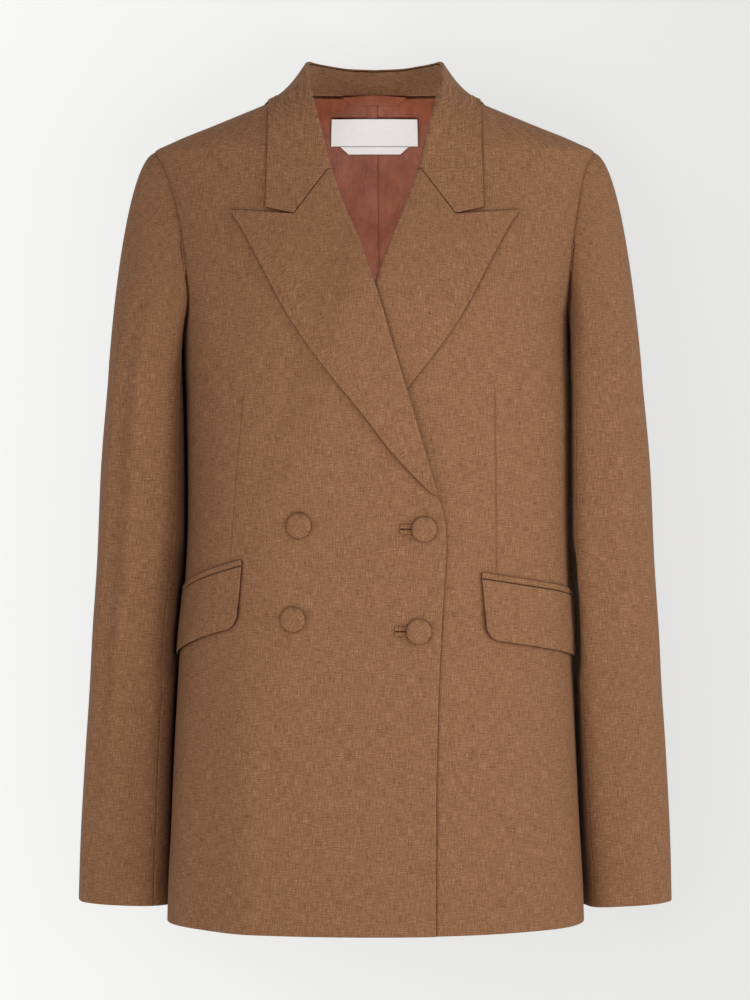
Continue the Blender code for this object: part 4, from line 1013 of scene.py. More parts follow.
def collar_end():
    """The fall's last row, along the gorge seam to the notch and on to the collar's corner."""
    z, x, start_x = top_edge(COLLAR_CORNER, CORNER_SHARE, FALL_PARTS)
    across = (x - start_x) / (LAPEL_EDGE[-1].x - start_x)
    at = np.array([GORGE])
    shift = roll_frame("left", at)[3][0] * (SEAM + 0.2 * MM)
    row = np.concatenate([roll_points("left", at, ROLL_RADIUS)[0], resting("left", x, z, across)])
    return row + shift * np.sign(shift[2])


past_notch = lerp(CORNER_SHARE, 1.0, spread(COLLAR_PAST_NOTCH, 1.5 * MM, start=False)[1:])
FALL_PARTS = np.concatenate([np.linspace(0, CORNER_SHARE, 18)[1:], past_notch])
half_way = spread(HALF_FALL, 2.5 * MM, start=False)
fall = collar_rows(half_way)[-1]
turn_to_gorge = (np.clip((half_way - END_STARTS) / END_LENGTH, 0, 1) ** 2)[:, None, None]
fall = fall + (collar_end() - fall[-1]) * turn_to_gorge
fall = np.concatenate([fall[:0:-1] * MIRROR, fall])
outs = grid_normals(fall)
outs = outs * np.sign(outs[len(outs) // 2, -4, 1])
down = np.interp(fall[..., 1], *zip(*GRAIN_TURNS))
grain = np.stack([fall[..., 0], fall[..., 2] - down], axis=-1)
collar = cloth_piece("collar_cloth", fall, outs, TURNED_WALL, [WOOL], grain)
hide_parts("collar")

half_way = STAND_ENDS * spread(HALF_STAND, 2.5 * MM, start=False)
stand_bottom, stand_top, _ = collar_rows(half_way)
up = unit(stand_top - stand_bottom)
inward = unit(np.cross(np.gradient(stand_bottom, axis=0), up))
inward *= np.sign(-inward[0, 1])
lap = smoothstep(*LAP_GROWS, half_way)[:, None]
stand_bottom = stand_bottom + lap * (inward * STAND_LAP_IN - up * STAND_LAP_DOWN)
stand = lerp(stand_bottom[:, None], stand_top[:, None], spread(STAND_HEIGHT, 2.0 * MM)[:, None])
stand = np.concatenate([stand[:0:-1] * MIRROR, stand])
outs = grid_normals(stand)
collar_stand = cloth_piece("collar_stand_cloth", stand, outs, TURNED_WALL, [WOOL], laid_flat(stand))
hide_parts("collar_stand")

# ---- The sleeves --------------------------------------------------------------------------------
# Two-piece sleeves of the same wool: a top sleeve, which shows, and a narrow under sleeve next to the
# body. They are set into the armholes with a little ease at the head, and end in plain open cuffs.
SLEEVE_WALL = 1.6 * MM
# square_right and square_left say how square each sleeve's inner half is in its cross-section
Sleeve = namedtuple("Sleeve", "z outer right left middle_right middle_left depth square_right square_left")
SLEEVE = [
    Sleeve(-0.7315, 0.2690, 0.1830, 0.1870, 0.0400, 0.0300, 0.0435, 2.4, 3.6),
    Sleeve(-0.6820, 0.2670, 0.1805, 0.1860, 0.0330, 0.0260, 0.0455, 2.4, 3.7),
    Sleeve(-0.5920, 0.2612, 0.1735, 0.1825, 0.0210, 0.0190, 0.0500, 2.2, 3.9),
    Sleeve(-0.5400, 0.2573, 0.1675, 0.1800, 0.0150, 0.0150, 0.0530, 2.1, 4.0),
    Sleeve(-0.4840, 0.2540, 0.1625, 0.1770, 0.0090, 0.0090, 0.0560, 2.0, 4.2),
    Sleeve(-0.4200, 0.2495, 0.1570, 0.1750, 0.0050, 0.0050, 0.0590, 2.0, 4.6),
    Sleeve(-0.3400, 0.2460, 0.1540, 0.1745, 0.0030, 0.0030, 0.0615, 2.1, 4.8),
    Sleeve(-0.2600, 0.2395, 0.1540, 0.1740, 0.0025, 0.0025, 0.0630, 2.6, 4.8),
]
FOREMOST = {"right": 0.56, "left": 0.45}  # how far out from its inner edge a sleeve is deepest
INNER_BEHIND = 0.150  # behind, every sleeve's inner side lies in against the body, and squarely
BEHIND_SQUARE = 4.5
SLEEVE_CLEAR = 3.0 * MM  # between a sleeve's wall and the body: in front, behind and beside a flap
CLEAR_BEHIND = 2.0 * MM
FLAP_CLEAR = 5.6 * MM
IN_FRONT = (-0.4, 0.1)  # parts of its depth over which its back shape gives way to its front one
BELOW_FLAP = (-0.53, -0.51)  # heights between which a sleeve moves out beside a flap, and back in
ABOVE_FLAP = (-0.40, -0.42)
OUTER_SQUARENESS = 2.3
CUFF_TILT = 0.05  # its slope across the cuff, which dies away up the sleeve
TILT_HEIGHTS = (-0.5, -0.7285)
CAP_TOP_PULL = 0.075  # how strongly the cap keeps the way it leaves the armhole, at top and bottom
CAP_BOTTOM_PULL = 0.020
LEAVE_OUT = (0.10, 0.93)  # that way, at the bottom and at the top of the armhole
LEAVE_DOWN = (0.99, 0.37)
LEAVE_FORWARD = 0.30
ARRIVE_OUT = 0.05
ARRIVE_PULL = 0.95
CAP_GAP = 0.6 * MM
ALLOWANCE = 4.0 * MM  # the seam allowance, turned in behind the armhole's edge
ALLOWANCE_SINK = 2.4  # millimetres
UNDERARM_DROP = 1.5 * MM
UNDERARM = (0.55, 0.30)  # shares of the armhole's height over which its top becomes its underarm
UNDERARM_LIFT = 0.6 * MM
UNDERARM_CLEAR = 1.8 * MM
HEAD_LENGTH = 0.10  # of cloth from the armhole's edge to the first whole ring
HEAD_INSIDE = [-1, -0.9, -0.7, -0.4, -0.15]  # rows of the allowance, as parts of it
RINGS_LENGTH = 0.4685
CUFF_TURNED_UP = 0.03  # of wool inside the cuff, before the lining starts
OUTER_ROW = 120  # a row well down the sleeve, which shows which way is out
SLEEVE_PARTS = {"top_sleeve": (-8, 9), "under_sleeve": (9, 16)}  # steps: 0 outermost, 6 in front
STEP_LENGTH = 0.015  # metres of cloth for each step round a sleeve
BESIDE = 0.2  # of a step, to either side, over which its normals are taken
# x is the distance round a sleeve from its outermost line, towards the front
SLEEVE_CREASES = {
    "right": [
        Crease(0.051, -0.180, 0.039, -0.620, 0.007, 2.2 * MM),
        Crease(0.067, -0.170, 0.055, -0.640, 0.010, -3.0 * MM),
        Crease(0.085, -0.190, 0.076, -0.620, 0.010, 2.0 * MM),
        Crease(0.040, -0.560, 0.036, -0.760, 0.009, 1.4 * MM),
        Crease(0.100, -0.200, 0.104, -0.700, 0.014, -1.0 * MM),
        Crease(0.070, -0.430, 0.110, -0.470, 0.009, 0.9 * MM),
        Crease(-0.030, -0.180, -0.026, -0.640, 0.010, -1.0 * MM),
        Crease(-0.062, -0.260, -0.055, -0.560, 0.012, 0.9 * MM),
        Crease(-0.100, -0.400, -0.060, -0.440, 0.010, -0.8 * MM),
    ],
    "left": [
        Crease(0.010, -0.190, 0.010, -0.740, 0.012, 2.2 * MM),
        Crease(0.036, -0.180, 0.034, -0.520, 0.007, 2.2 * MM),
        Crease(0.052, -0.160, 0.050, -0.560, 0.009, -1.6 * MM),
        Crease(0.068, -0.240, 0.062, -0.640, 0.015, 0.9 * MM),
        Crease(0.095, -0.410, 0.060, -0.450, 0.010, -0.6 * MM),
        Crease(-0.026, -0.200, -0.030, -0.680, 0.011, -1.0 * MM),
        Crease(-0.060, -0.230, -0.066, -0.520, 0.013, 0.9 * MM),
        Crease(-0.095, -0.380, -0.055, -0.430, 0.010, -0.7 * MM),
    ],
}


def signed_power(value, power):
    return np.sign(value) * np.abs(value) ** power


def body_side(y, z):
    """How far out the body's form reaches at a depth y."""
    return np.abs(form_point(1, angle_at_depth(y, z), z)[..., 0])


def sleeve_ring(side_name, z, turn):
    """Points of a sleeve's wall below the armpit. turn is 0 outermost, 90 degrees in front."""
    outer = curve(SLEEVE, "outer", z) - SLEEVE_WALL / 2
    depth = curve(SLEEVE, "depth", z) - SLEEVE_WALL / 2
    across, ahead = np.cos(turn), np.sin(turn)
    in_front = smoothstep(*IN_FRONT, ahead)
    inner_square = lerp(BEHIND_SQUARE, curve(SLEEVE, f"square_{side_name}", z), in_front)
    power = 2 / np.where(across >= 0, OUTER_SQUARENESS, inner_square)
    y = curve(SLEEVE, f"middle_{side_name}", z) - depth * signed_power(ahead, power)
    beside_flap = smoothstep(*BELOW_FLAP, z) * smoothstep(*ABOVE_FLAP, z)
    clear = lerp(CLEAR_BEHIND, lerp(SLEEVE_CLEAR, FLAP_CLEAR, beside_flap), in_front)
    beside = body_side(y, z) + curve(FULL, side_name, z) * MM + clear
    inner = np.maximum(beside, lerp(INNER_BEHIND, curve(SLEEVE, side_name, z), in_front) + SLEEVE_WALL / 2)
    middle = lerp(inner, outer, FOREMOST[side_name])
    reach = np.where(across >= 0, outer - middle, middle - inner)
    x = middle + reach * signed_power(across, power)
    tilt = CUFF_TILT * smoothstep(*TILT_HEIGHTS, z) * (x - middle)
    return points(SIDES[side_name] * x, y, z + tilt)


def sleeve_head(side_name, step, part):
    """Points of a sleeve's head, between the armhole seam (part 0) and its first whole ring (1). A
    part below 0 is the allowance inside the seam."""
    side = SIDES[side_name]
    y, z = armhole(side_name, step)
    turn = 2 * math.pi * step / ROUND
    top = 0.5 + 0.5 * np.cos(turn)
    under = smoothstep(*UNDERARM, top)
    lift = lerp(-SLEEVE_WALL / 2, SLEEVE_WALL / 2 + UNDERARM_LIFT, under)
    angle = angle_at_depth(y, z)
    out = outward(side, angle, z)
    gap = points(side * CAP_GAP * (1 - 0.7 * under), 0, 0)
    start = form_point(side, angle, z) + out * lift[..., None] + gap
    end = sleeve_ring(side_name, SLEEVE[-1].z, turn)
    forward, down = LEAVE_FORWARD * np.sin(turn), lerp(*LEAVE_DOWN, top)
    leave = unit(points(side * lerp(*LEAVE_OUT, top), -forward, -down))
    pull = lerp(CAP_BOTTOM_PULL, CAP_TOP_PULL, top**0.7)[..., None]
    arrive = unit(np.array([side * ARRIVE_OUT, 0, -1]))
    arrive = arrive * np.linalg.norm(end - start, axis=-1, keepdims=True) * ARRIVE_PULL
    t = part[..., None]
    place = (
        start * (2 * t**3 - 3 * t**2 + 1)
        + leave * pull * (t**3 - 2 * t**2 + t)
        + end * (3 * t**2 - 2 * t**3)
        + arrive * (t**3 - t**2)
    )
    shown = (1 - under)[..., None]
    aside = points(side * ALLOWANCE * (1 - under), 0, -UNDERARM_DROP * under)
    turned_in = out * shown * ALLOWANCE_SINK * MM + aside
    place = np.where(t < 0, start + turned_in * t, place)
    clear = body_side(place[..., 1], place[..., 2]) + lerp(UNDERARM_CLEAR, SLEEVE_CLEAR, part)
    close = (under > 0) & (part > 0) & (side * place[..., 0] < clear)
    place[..., 0] = np.where(close, side * clear, place[..., 0])
    return place


def sleeve_rows(side_name, steps):
    head_parts = np.concatenate([HEAD_INSIDE, spread(HEAD_LENGTH, 3.0 * MM, end=False)])
    ring_z = lerp(SLEEVE[-1].z, SLEEVE[0].z, spread(RINGS_LENGTH, 4.2 * MM, start=False)[1:])
    step, part = np.broadcast_arrays(steps[None], head_parts[:, None])
    head = sleeve_head(side_name, step, part)
    rings = sleeve_ring(side_name, ring_z[:, None], 2 * math.pi * steps[None] / ROUND)
    return np.concatenate([head, rings])


def sleeve_piece(part_name, side_name):
    first, last = SLEEVE_PARTS[part_name]
    gap = SEAM / 2 / STEP_LENGTH
    length = (last - first) * STEP_LENGTH
    steps = lerp(first + gap, last - gap, spread(length, 2.6 * MM))
    middle = sleeve_rows(side_name, steps)
    beside = sleeve_rows(side_name, steps + BESIDE) - sleeve_rows(side_name, steps - BESIDE)
    outs = unit(np.cross(beside, np.gradient(middle, axis=0)))
    outermost = middle.shape[1] // 2
    is_top = part_name == "top_sleeve"
    outs = outs * np.sign(outs[OUTER_ROW, outermost, 0] * SIDES[side_name]) * (1 if is_top else -1)
    around = np.broadcast_to(steps * STEP_LENGTH, middle.shape[:2])
    if is_top:
        middle = middle + outs * relief(SLEEVE_CREASES[side_name], around, middle[..., 2])[..., None]
    from_outermost = distances(middle, 1)
    from_outermost -= from_outermost[:, outermost : outermost + 1]
    grain = np.stack([from_outermost, distances(middle[::-1], 0)[::-1]], axis=-1)
    lined = middle[..., 2] >= SLEEVE[0].z + CUFF_TURNED_UP
    name = f"{part_name}_{side_name}_cloth"
    return cloth_piece(name, middle, outs, SLEEVE_WALL, [WOOL, SATIN], grain, lined)


SLEEVE_CUTS = {"top_sleeve": ((0.29, 0.66), 0.1375), "under_sleeve": ((0.12, 0.56), 0.052)}
for side_name in SIDES:
    for part_name, (flat, area) in SLEEVE_CUTS.items():
        sleeve = sleeve_piece(part_name, side_name)
        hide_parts(f"{part_name}_{side_name}")

# ---- The pockets --------------------------------------------------------------------------------
# A jetted pocket slants back over each hip. Its flap is lined wool with rounded corners, sewn under
# a narrow jet, and hangs a little off the front.
Pocket = namedtuple("Pocket", "front_x front_z slope")
POCKETS = {
    "right": Pocket(0.1130, -0.4250, 0.240),
    "left": Pocket(0.0935, -0.4360, 0.150),
}
FLAP_LENGTH = 0.135
FLAP_DROP = 0.052
FLAP_CORNER = 0.012
FLAP_WALL = 2.0 * MM
FLAP_LIFT = FLAP_WALL / 2 + 0.4 * MM
FLAP_HANG = 1.2 * MM
FLAP_SLANT = 4.0 * MM
JET_DROP = 5.5 * MM
JET_WALL = 1.4 * MM
JET_LIFT = JET_WALL / 2 + 0.3 * MM
JET_ROUNDS = 0.5 * MM  # how far its fold stands out more
JET_FOLD = 0.8  # of half a turn, from its seam to its fold
JET_ROWS = 12
FLAP_LEAN = 0.03
ALONG_JET = math.pi / 2  # its grain runs along its length


def arc_per_radian(start, z, along):
    """Metres of ring for each radian, from an angle on for a stretch."""
    guess = along / curve(FORM, "half_width", z) + 0.01
    line = form_point(1, start + guess * np.linspace(0, 1, 7)[:, None, None], z + np.zeros((7, 1, 1)))
    return np.linalg.norm(np.diff(line, axis=0), axis=-1).sum(axis=0) / guess


def pocket_point(name, along, down, lift):
    """Points of a front, measured back from its pocket's front end and down from the mouth."""
    pocket = POCKETS[name]
    z = pocket.front_z - pocket.slope * along - down
    start = angle_at_x(pocket.front_x, z)
    angle = start + along / arc_per_radian(start, z, along)
    x = np.abs(form_point(1, angle, z)[..., 0])
    lift = lift + front_lift(name, x, z) + relief(FRONT_CREASES[name], x, z)
    return on_form(SIDES[name], angle, z, lift)


def flap_outline(along):
    """How far down the flap reaches along its length: round its front and back corners."""
    inside = np.maximum(0, FLAP_CORNER - np.minimum(along, FLAP_LENGTH - along))
    return FLAP_DROP - FLAP_CORNER + np.sqrt(FLAP_CORNER**2 - inside**2)


def outward_normals(grid, side):
    """Normals of a piece that lies on a front, pointing away from it."""
    outs = grid_normals(grid)
    middle = outs[len(outs) // 2, outs.shape[1] // 2]
    return outs * (1 if middle[1] < middle[0] * side else -1)


corner = FLAP_CORNER * (1 - np.cos(np.linspace(0, math.pi / 2, 12)))
between = np.linspace(FLAP_CORNER, FLAP_LENGTH - FLAP_CORNER, 60)[1:-1]
flap_columns = np.concatenate([corner, between, FLAP_LENGTH - corner[::-1]])
for name, side in SIDES.items():
    part = spread(FLAP_DROP, 1.8 * MM)[:, None]
    slant = FLAP_SLANT * part * (1 - flap_columns / FLAP_LENGTH)
    hang = FLAP_LIFT + FLAP_HANG * np.sin(math.pi * part * 0.8) * part
    flap = pocket_point(name, flap_columns + slant, flap_outline(flap_columns) * part, hang + 0 * slant)
    outs = outward_normals(flap, side)
    grain = laid_flat(flap, FLAP_LEAN)
    flap_cloth = cloth_piece(f"pocket_flap_{name}_cloth", flap, outs, FLAP_WALL, [WOOL], grain)
    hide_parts(f"pocket_flap_{name}")

    up = SEAM + JET_DROP * np.linspace(0, 1, JET_ROWS)[:, None]
    along = FLAP_LENGTH * spread(FLAP_LENGTH, 2.0 * MM)
    fold = JET_LIFT + JET_ROUNDS * np.sin(math.pi * np.linspace(0.0, JET_FOLD, JET_ROWS))[:, None]
    jet = pocket_point(name, along + 0 * up, -up + 0 * along, fold + 0 * along)
    outs = outward_normals(jet, side)
    grain = laid_flat(jet, ALONG_JET)
    jet_cloth = cloth_piece(f"pocket_jet_{name}_cloth", jet, outs, JET_WALL, [WOOL], grain)
    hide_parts(f"pocket_welt_{name}")

# ---- The buttons and buttonholes ----------------------------------------------------------------
# Four domed buttons, each a metal shell covered in the same wool cut on the bias, sewn on by a
# short shank. The two nearer the front edge sit in bound buttonholes with lips of the same wool.
BUTTONS = {
    "button_right_upper": Edge(-0.3895, -0.0645),
    "button_right_lower": Edge(-0.4712, -0.0695),
    "button_front_upper": Edge(-0.3925, 0.0425),
    "button_front_lower": Edge(-0.4815, 0.0380),
}
BUTTON_RADIUS = 11.0 * MM
BUTTON_DEPTH = 4.2 * MM
SHANK_RADIUS = 3.0 * MM
SHANK_HEIGHT = 1.6 * MM
SHANK_CLEAR = 0.5 * MM
SHANK_FOOT = 0.3 * MM
BUTTON_ROUND = 72
BUTTON_LEAN = math.radians(38)
# Its outline from the middle down, as shares of its radius and depth
DOME = [(0.0, 1.00), (0.18, 0.995), (0.36, 0.975), (0.54, 0.94), (0.70, 0.885), (0.82, 0.82), (0.91, 0.73)]
RIM = [(0.97, 0.62), (1.0, 0.48), (0.995, 0.34), (0.965, 0.22), (0.90, 0.11), (0.80, 0.03), (0.66, 0.0)]


def on_right_front(x, z):
    """How far the right front's outer face stands off the form, with its creases."""
    return front_lift("right", x, z) + relief(FRONT_CREASES["right"], x, z)


def button_piece(name, place):
    profile = [(BUTTON_RADIUS * r, SHANK_HEIGHT + BUTTON_DEPTH * h) for r, h in DOME + RIM]
    profile += [(SHANK_RADIUS, SHANK_HEIGHT), (SHANK_RADIUS, SHANK_FOOT), (0.0, 0.0)]
    radius, height = (np.array(column)[:, None] for column in zip(*profile))
    turn = np.linspace(0, 2 * math.pi, BUTTON_ROUND, endpoint=False)
    local = points(radius * np.cos(turn), radius * np.sin(turn), height)
    own_x, z = -place.x, np.array(place.z)
    angle = angle_at_x(np.array(own_x), z)
    out = outward(-1, angle, z)
    across = unit(np.cross(np.array([0.0, 0.0, 1.0]), out))
    down = np.cross(across, out)
    start = on_form(-1, angle, z, on_right_front(own_x, z)) + out * SHANK_CLEAR
    placed = start + local[..., :1] * across + local[..., 1:2] * down + local[..., 2:] * out
    index = np.arange(placed[..., 0].size).reshape(placed.shape[:2])
    quads = strips(index, np.roll(index, -1, axis=1))
    grain = turned_grain(local[..., 0], local[..., 1] + 0.3 * local[..., 2], BUTTON_LEAN)
    data = mesh_of(name, placed.reshape(-1, 3), quads, grain.reshape(-1, 2))
    tidy = bmesh.new()
    tidy.from_mesh(data)
    bmesh.ops.remove_doubles(tidy, verts=tidy.verts, dist=1e-6)
    bmesh.ops.recalc_face_normals(tidy, faces=tidy.faces)
    tidy.to_mesh(data)
    tidy.free()
    return link(name, data, [WOOL])


for name, place in BUTTONS.items():
    button = button_piece(f"{name}_covered", place)
    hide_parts(name)

BUTTONHOLE_LENGTH = 0.0165
BUTTONHOLE_START = 0.0205
BUTTONHOLE_HEIGHT = 0.0085
BUTTONHOLE_WALL = 0.8 * MM
BUTTONHOLE_SLIT = 0.7 * MM
BUTTONHOLE_CLEAR = 0.3 * MM
LIP_ROLL = 0.55 * MM


def buttonhole_lip(place, upper):
    """One folded lip of a bound buttonhole: a flat roll of cloth along the slit."""
    along = BUTTONHOLE_LENGTH * spread(BUTTONHOLE_LENGTH, 1.0 * MM)
    share = np.linspace(0, 1, 14)[:, None]
    half, slit = BUTTONHOLE_HEIGHT / 2, BUTTONHOLE_SLIT / 2
    down = upper * lerp(slit, half, share)
    x = -(place.x - BUTTONHOLE_START + along)
    z = place.z + down
    x, z = np.broadcast_arrays(x, z)
    rolled = LIP_ROLL * np.sin(math.pi * np.clip(share * 1.15, 0, 1)) ** 0.6
    lift = on_right_front(x, z) + BUTTONHOLE_CLEAR + BUTTONHOLE_WALL / 2 + rolled
    lip = on_form(-1, angle_at_x(x, z), z, lift)
    return lip, outward_normals(lip, -1)


for level in ("upper", "lower"):
    place = BUTTONS[f"button_front_{level}"]
    for lip_name, upper in (("top", 1), ("bottom", -1)):
        lip, outs = buttonhole_lip(place, upper)
        name, grain = f"buttonhole_{level}_{lip_name}_lip", laid_flat(lip, ALONG_JET)
        made = cloth_piece(name, lip, outs, BUTTONHOLE_WALL, [WOOL], grain)
        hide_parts(f"buttonhole_{level}")

# ---- Inside the back neck -----------------------------------------------------------------------
# A satin hanging loop lies on the neck seam, over a white woven label with a small tab below it.
# Both are sewn to the lining and are left bare.
INNER_FACE = LINING_LIFT - LINING_WALL / 2
LABEL_WALL = 0.6 * MM
LABEL_HALF_WIDTH = 0.0408
LABEL_TOP = -0.0140
LABEL_BOTTOM = -0.0385
TAB_HALF_TOP = 0.0322
TAB_HALF_BOTTOM = 0.0243
TAB_BOTTOM = -0.0458
LOOP_HALF_TOP = 0.0328
LOOP_HALF_BOTTOM = 0.0245
LOOP_TOP = 0.0060
LOOP_BAND = 0.0062
LOOP_WALL = 1.2 * MM
LOOP_TURN_IN = 2.0 * MM
LABEL_LIFT = 2.0 * MM + LABEL_WALL / 2
LOOP_LIFT = 2.6 * MM + LOOP_WALL / 2
LABEL_WHITE = (0.80, 0.80, 0.775)


def woven_label():
    """Close white satin ribbon with a fine rib across it."""
    finish, tree, shader = new_finish("label_weave", "white_woven_label")
    rib = yarns(tree, flat_cloth(tree), 9 * MM, 0.35 * MM, 4.0)
    stops = [(0.3, tuple(0.9 * part for part in LABEL_WHITE)), (0.7, LABEL_WHITE)]
    tree.links.new(ramp(tree, rib, stops), shader.inputs["Base Color"])
    bumped(tree, shader, rib, 0.25, 0.1 * MM)
    uniform(shader, {"Roughness": 0.55})
    return finish


def inside_back(x, z, lift):
    """Points on the inner face of the back, x to the wearer's left."""
    angle = math.pi - angle_at_x(np.abs(x), z)
    mirrored = np.where(x < 0, -1.0, 1.0)[..., None] * np.array([1, 0, 0]) + np.array([0, 1, 1])
    return on_form(1, angle, z, INNER_FACE - lift + 0 * x) * mirrored


def band(name, widths, wall, lift, finish):
    """A strip sewn inside the back, from a list of (height, half width) from the top down."""
    heights = np.array([row[0] for row in widths])
    length = heights[0] - heights[-1]
    share = spread(length, 1.2 * MM)
    z = heights[0] - length * share
    half = np.interp(-z, -heights, [row[1] for row in widths])
    across = lerp(-1, 1, spread(2 * widths[0][1], 2.0 * MM))
    z, x = z[:, None] + 0 * across, half[:, None] * across
    strip = inside_back(x, z, lift)
    outs = grid_normals(strip)
    outs = outs * (1 if outs[len(outs) // 2, len(across) // 2, 1] < 0 else -1)
    return cloth_piece(name, strip, outs, wall, [finish], np.stack([x, z], axis=-1))


LABEL = woven_label()
label_ends = [(LABEL_TOP, LABEL_HALF_WIDTH), (LABEL_BOTTOM, LABEL_HALF_WIDTH)]
label = band("neck_label_ribbon", label_ends, LABEL_WALL, LABEL_LIFT, LABEL)
tab_ends = [(LABEL_BOTTOM - SEAM, TAB_HALF_TOP), (TAB_BOTTOM, TAB_HALF_BOTTOM)]
tab = band("size_tab_ribbon", tab_ends, LABEL_WALL, LABEL_LIFT, LABEL)
loop_edge = LOOP_TOP - LOOP_BAND
loop_ends = [
    (LOOP_TOP, LOOP_HALF_TOP),
    (loop_edge, LOOP_HALF_BOTTOM),
    (loop_edge - LOOP_TURN_IN, LOOP_HALF_BOTTOM - LOOP_TURN_IN),
]
loop = band("hanger_loop_satin", loop_ends, LOOP_WALL, LOOP_LIFT, SATIN)
for piece, solid, flat, area in (
    (label, "neck_label", (0.082, 0.0245), 0.0020),
    (tab, "size_tab", (0.0645, 0.010), 0.00043),
    (loop, "hanger_loop", (0.066, 0.010), 0.00048),
):
    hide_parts(solid)

# ---- The pick stitches --------------------------------------------------------------------------
# Short hand stitches of matching thread prick the cloth along the lapels' outer edges and beside the
# front edge. They hold the facing flat and sit a little sunk in the wool.
STITCH_PITCH = 4.2 * MM
STITCH_LENGTH = 1.5 * MM
THREAD_RADIUS = 0.20 * MM
THREAD_ROUND = 6
FRONT_STITCH_INSET = 7.0 * MM
CLEAR_OF_BREAK = 8  # rows of a lapel left without stitches at its bottom
CLEAR_OF_NOTCH = 28  # columns, from the roll
CLEAR_OF_PEAK = 8
CLEAR_OF_HEM = 0.01
CLEAR_OF_ROLL = 0.015
EDGE_COLUMNS = 40  # columns of the front in which the line inside its edge is found
Bead = namedtuple("Bead", "along radius height")  # shares of a stitch's length and thread's radius
STITCH_FORM = [
    Bead(-0.50, 0.05, -1.6),
    Bead(-0.42, 0.65, -1.0),
    Bead(-0.22, 0.95, -0.1),
    Bead(0.00, 1.00, 0.2),
    Bead(0.22, 0.95, -0.1),
    Bead(0.42, 0.65, -1.0),
    Bead(0.50, 0.05, -1.6),
]


def inset_line(face, outs, inset):
    """The line on a panel's face at a distance inside its last column, and the normals there."""
    from_edge = distances(face[:, ::-1], 1)
    both = np.concatenate([face, outs], axis=-1)[:, ::-1]
    rows = zip(from_edge, both)
    return np.array([[np.interp(inset, depth, part) for part in row.T] for depth, row in rows])


def stitch_row(name, line):
    """Stitches at an even pitch along a line of places and normals."""
    length = distances(line[None, :, :3], 1)[0]
    count = int(length[-1] / STITCH_PITCH)
    at = (np.arange(count) + 0.5) * STITCH_PITCH
    both = np.stack([np.interp(at, length, column) for column in line.T], -1)
    place, out = both[:, :3], unit(both[:, 3:])
    along = unit(np.gradient(place, axis=0))
    aside = np.cross(along, out)
    form = np.array(STITCH_FORM)
    turn = np.linspace(0, 2 * math.pi, THREAD_ROUND, endpoint=False)
    forward = form[:, 0] * STITCH_LENGTH
    sideways = np.outer(form[:, 1], np.cos(turn)) * THREAD_RADIUS
    upward = (form[:, 2:] + np.outer(form[:, 1], np.sin(turn))) * THREAD_RADIUS
    parts = [(forward[:, None] + 0 * upward, along), (sideways, aside), (upward, out)]
    ring = place[:, None, None] + sum(size[None, ..., None] * way[:, None, None] for size, way in parts)
    index = np.arange(ring[..., 0].size).reshape(ring.shape[:3])
    after = np.roll(index, -1, axis=2)
    quads = np.concatenate([strips(*one) for one in zip(index, after)])
    grain = np.broadcast_to(np.stack([0 * upward, forward[:, None] + 0 * upward], -1), (*ring.shape[:3], 2))
    return link(name, mesh_of(name, ring.reshape(-1, 3), quads, grain.reshape(-1, 2)), [WOOL])


for side_name in SIDES:
    face, outs = cloth_face[f"lapel_{side_name}_cloth"]
    clear_of_top = distances(face, 0)[-1, -1] - distances(face, 0)[:, -1] > STITCH_INSET
    line = inset_line(face, outs, STITCH_INSET)[clear_of_top]
    stitch_row(f"lapel_{side_name}_stitches", line[CLEAR_OF_BREAK:])
    peak = slice(ROLL_POINTS + CLEAR_OF_NOTCH, -CLEAR_OF_PEAK)
    face, outs = (grid.transpose(1, 0, 2)[peak] for grid in (face, outs))
    stitch_row(f"lapel_{side_name}_peak_stitches", inset_line(face, outs, STITCH_INSET))

face, outs = cloth_face["front_right_cloth"]
line = inset_line(face[:, EDGE_COLUMNS::-1], outs[:, EDGE_COLUMNS::-1], FRONT_STITCH_INSET)
beside_edge = (line[:, 2] > HEM + CLEAR_OF_HEM) & (line[:, 2] < BREAK - CLEAR_OF_ROLL)
stitch_row("front_edge_stitches", line[beside_edge])

# ---- The stage ----------------------------------------------------------------------------------
# A plain pale wall close behind, curving into a floor below, which glows with painted light that is
# brighter at -X than at +X.
# Two large soft lights stand in front and at the side, with small ones above, behind and inside the neck.
STAGE_PALE = (0.15, 0.15, 0.15, 1)
STAGE_GLOW = (1.0, 1.0, 0.985, 1)
STAGE_GLOW_LEFT = 0.79  # the wall glows a little, painted light that is stronger at -X than at +X
STAGE_GLOW_RIGHT = 0.64
GLOW_REACH = 0.35  # how far from the middle its strength goes on changing
WALL_Y = 0.165
WALL_TOP = 2.2
FLOOR_Z = -1.06
FLOOR_FRONT = -5.0
BEND = 0.22
STAGE_HALF_WIDTH = 2.4


def stage_paper():
    """Matt pale paper with a painted glow, brighter at -X, that can be seen through from behind."""
    finish, tree, shader = new_finish("stage_paper")
    uniform(shader, {"Base Color": STAGE_PALE, "Roughness": 0.95, "Specular IOR Level": 0.0})
    uniform(shader, {"Emission Color": STAGE_GLOW})
    place = node(tree, "ShaderNodeNewGeometry").outputs["Position"]
    across = node(tree, "ShaderNodeSeparateXYZ", {"Vector": place}).outputs["X"]
    ends = {"Value": across, "From Min": -GLOW_REACH, "From Max": GLOW_REACH}
    ends |= {"To Min": STAGE_GLOW_LEFT, "To Max": STAGE_GLOW_RIGHT}
    glow = node(tree, "ShaderNodeMapRange", ends).outputs["Result"]
    tree.links.new(glow, shader.inputs["Emission Strength"])
    clear = node(tree, "ShaderNodeBsdfTransparent")
    behind = node(tree, "ShaderNodeNewGeometry").outputs["Backfacing"]
    either = node(tree, "ShaderNodeMixShader", {0: behind, 1: shader.outputs[0], 2: clear.outputs[0]})
    tree.links.new(either.outputs[0], tree.nodes["Material Output"].inputs["Surface"])
    return finish


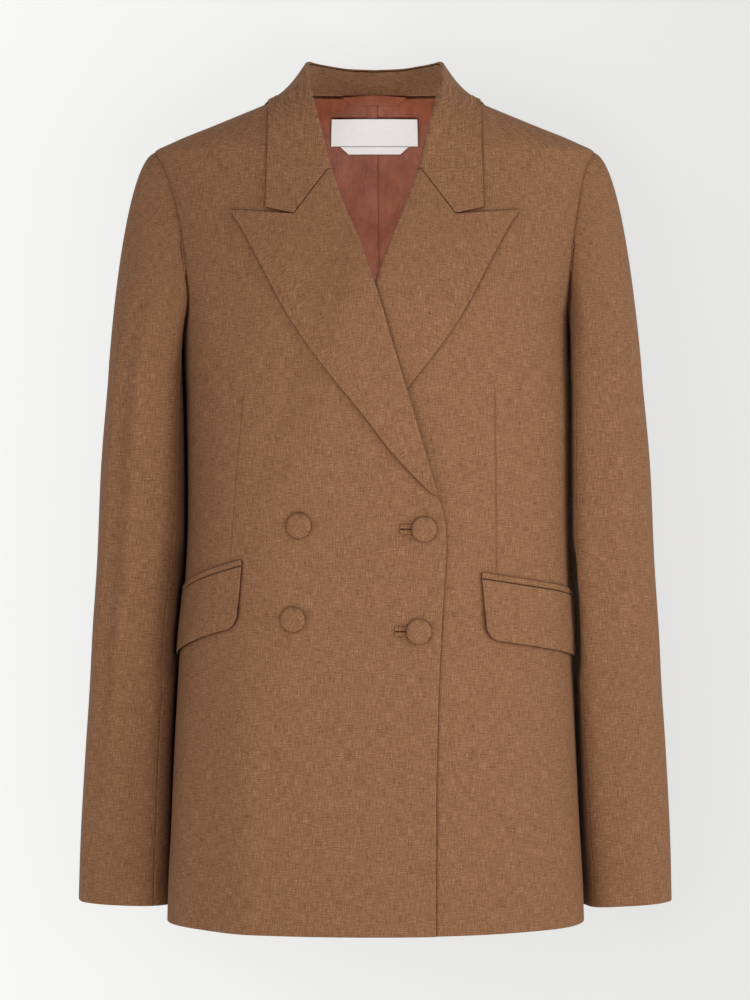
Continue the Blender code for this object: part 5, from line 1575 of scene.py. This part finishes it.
def backdrop():
    turn = np.linspace(0, math.pi / 2, 24)
    y = np.concatenate([[WALL_Y], WALL_Y - BEND * (1 - np.cos(turn)), [FLOOR_FRONT]])
    z = np.concatenate([[WALL_TOP], FLOOR_Z + BEND * (1 - np.sin(turn)), [FLOOR_Z]])
    x = np.array([-STAGE_HALF_WIDTH, STAGE_HALF_WIDTH])
    grid = points(x[None], y[:, None], z[:, None])
    index = np.arange(grid[..., 0].size).reshape(grid.shape[:2])
    quads = strips(index[:, :-1], index[:, 1:])
    data = mesh_of("backdrop", grid.reshape(-1, 3), quads[:, ::-1], grid[..., :2].reshape(-1, 2))
    data.materials.append(stage_paper())
    made = bpy.data.objects.new("backdrop", data)
    bpy.context.scene.collection.objects.link(made)


def panel_light(name, place, target, size, watts):
    lamp = bpy.data.lights.new(name, "AREA")
    lamp.shape = "RECTANGLE"
    lamp.size, lamp.size_y = size
    lamp.energy = watts
    made = bpy.data.objects.new(name, lamp)
    bpy.context.scene.collection.objects.link(made)
    made.location = place
    made.rotation_euler = (Vector(target) - Vector(place)).to_track_quat("-Z", "Y").to_euler()


backdrop()
CHEST = (0.0, -0.05, -0.35)
NECK = (0.0, 0.09, -0.01)
panel_light("front_left", (-1.6, -2.9, -0.40), CHEST, (2.4, 2.6), 60)
panel_light("side_right", (2.4, -1.1, -0.35), CHEST, (1.6, 2.4), 56)
panel_light("top", (0.2, -0.7, 1.9), CHEST, (1.8, 1.2), 14)
panel_light("near", (0.1, -1.0, -0.40), CHEST, (0.4, 0.4), 3.3)
panel_light("behind", (0.0, 2.4, 0.8), CHEST, (2.0, 1.6), 25)
panel_light("inside", (0.0, -0.05, -0.17), NECK, (0.10, 0.06), 0.25)

world = bpy.data.worlds.new("room")
world.use_nodes = True
uniform(world.node_tree.nodes["Background"], {"Color": (0.95, 0.97, 1.0, 1), "Strength": 0.02})
bpy.context.scene.world = world
bpy.context.scene.view_settings.view_transform = "Standard"

eye = bpy.data.cameras.new("eye")
eye.sensor_fit = "VERTICAL"
eye.sensor_height = 36
eye.lens = 140
eye.shift_x = 0.0005
camera = bpy.data.objects.new("eye", eye)
camera.location = (0, -3.5, -0.367)
camera.rotation_euler = (math.pi / 2, 0, 0)
bpy.context.scene.collection.objects.link(camera)
bpy.context.scene.camera = camera
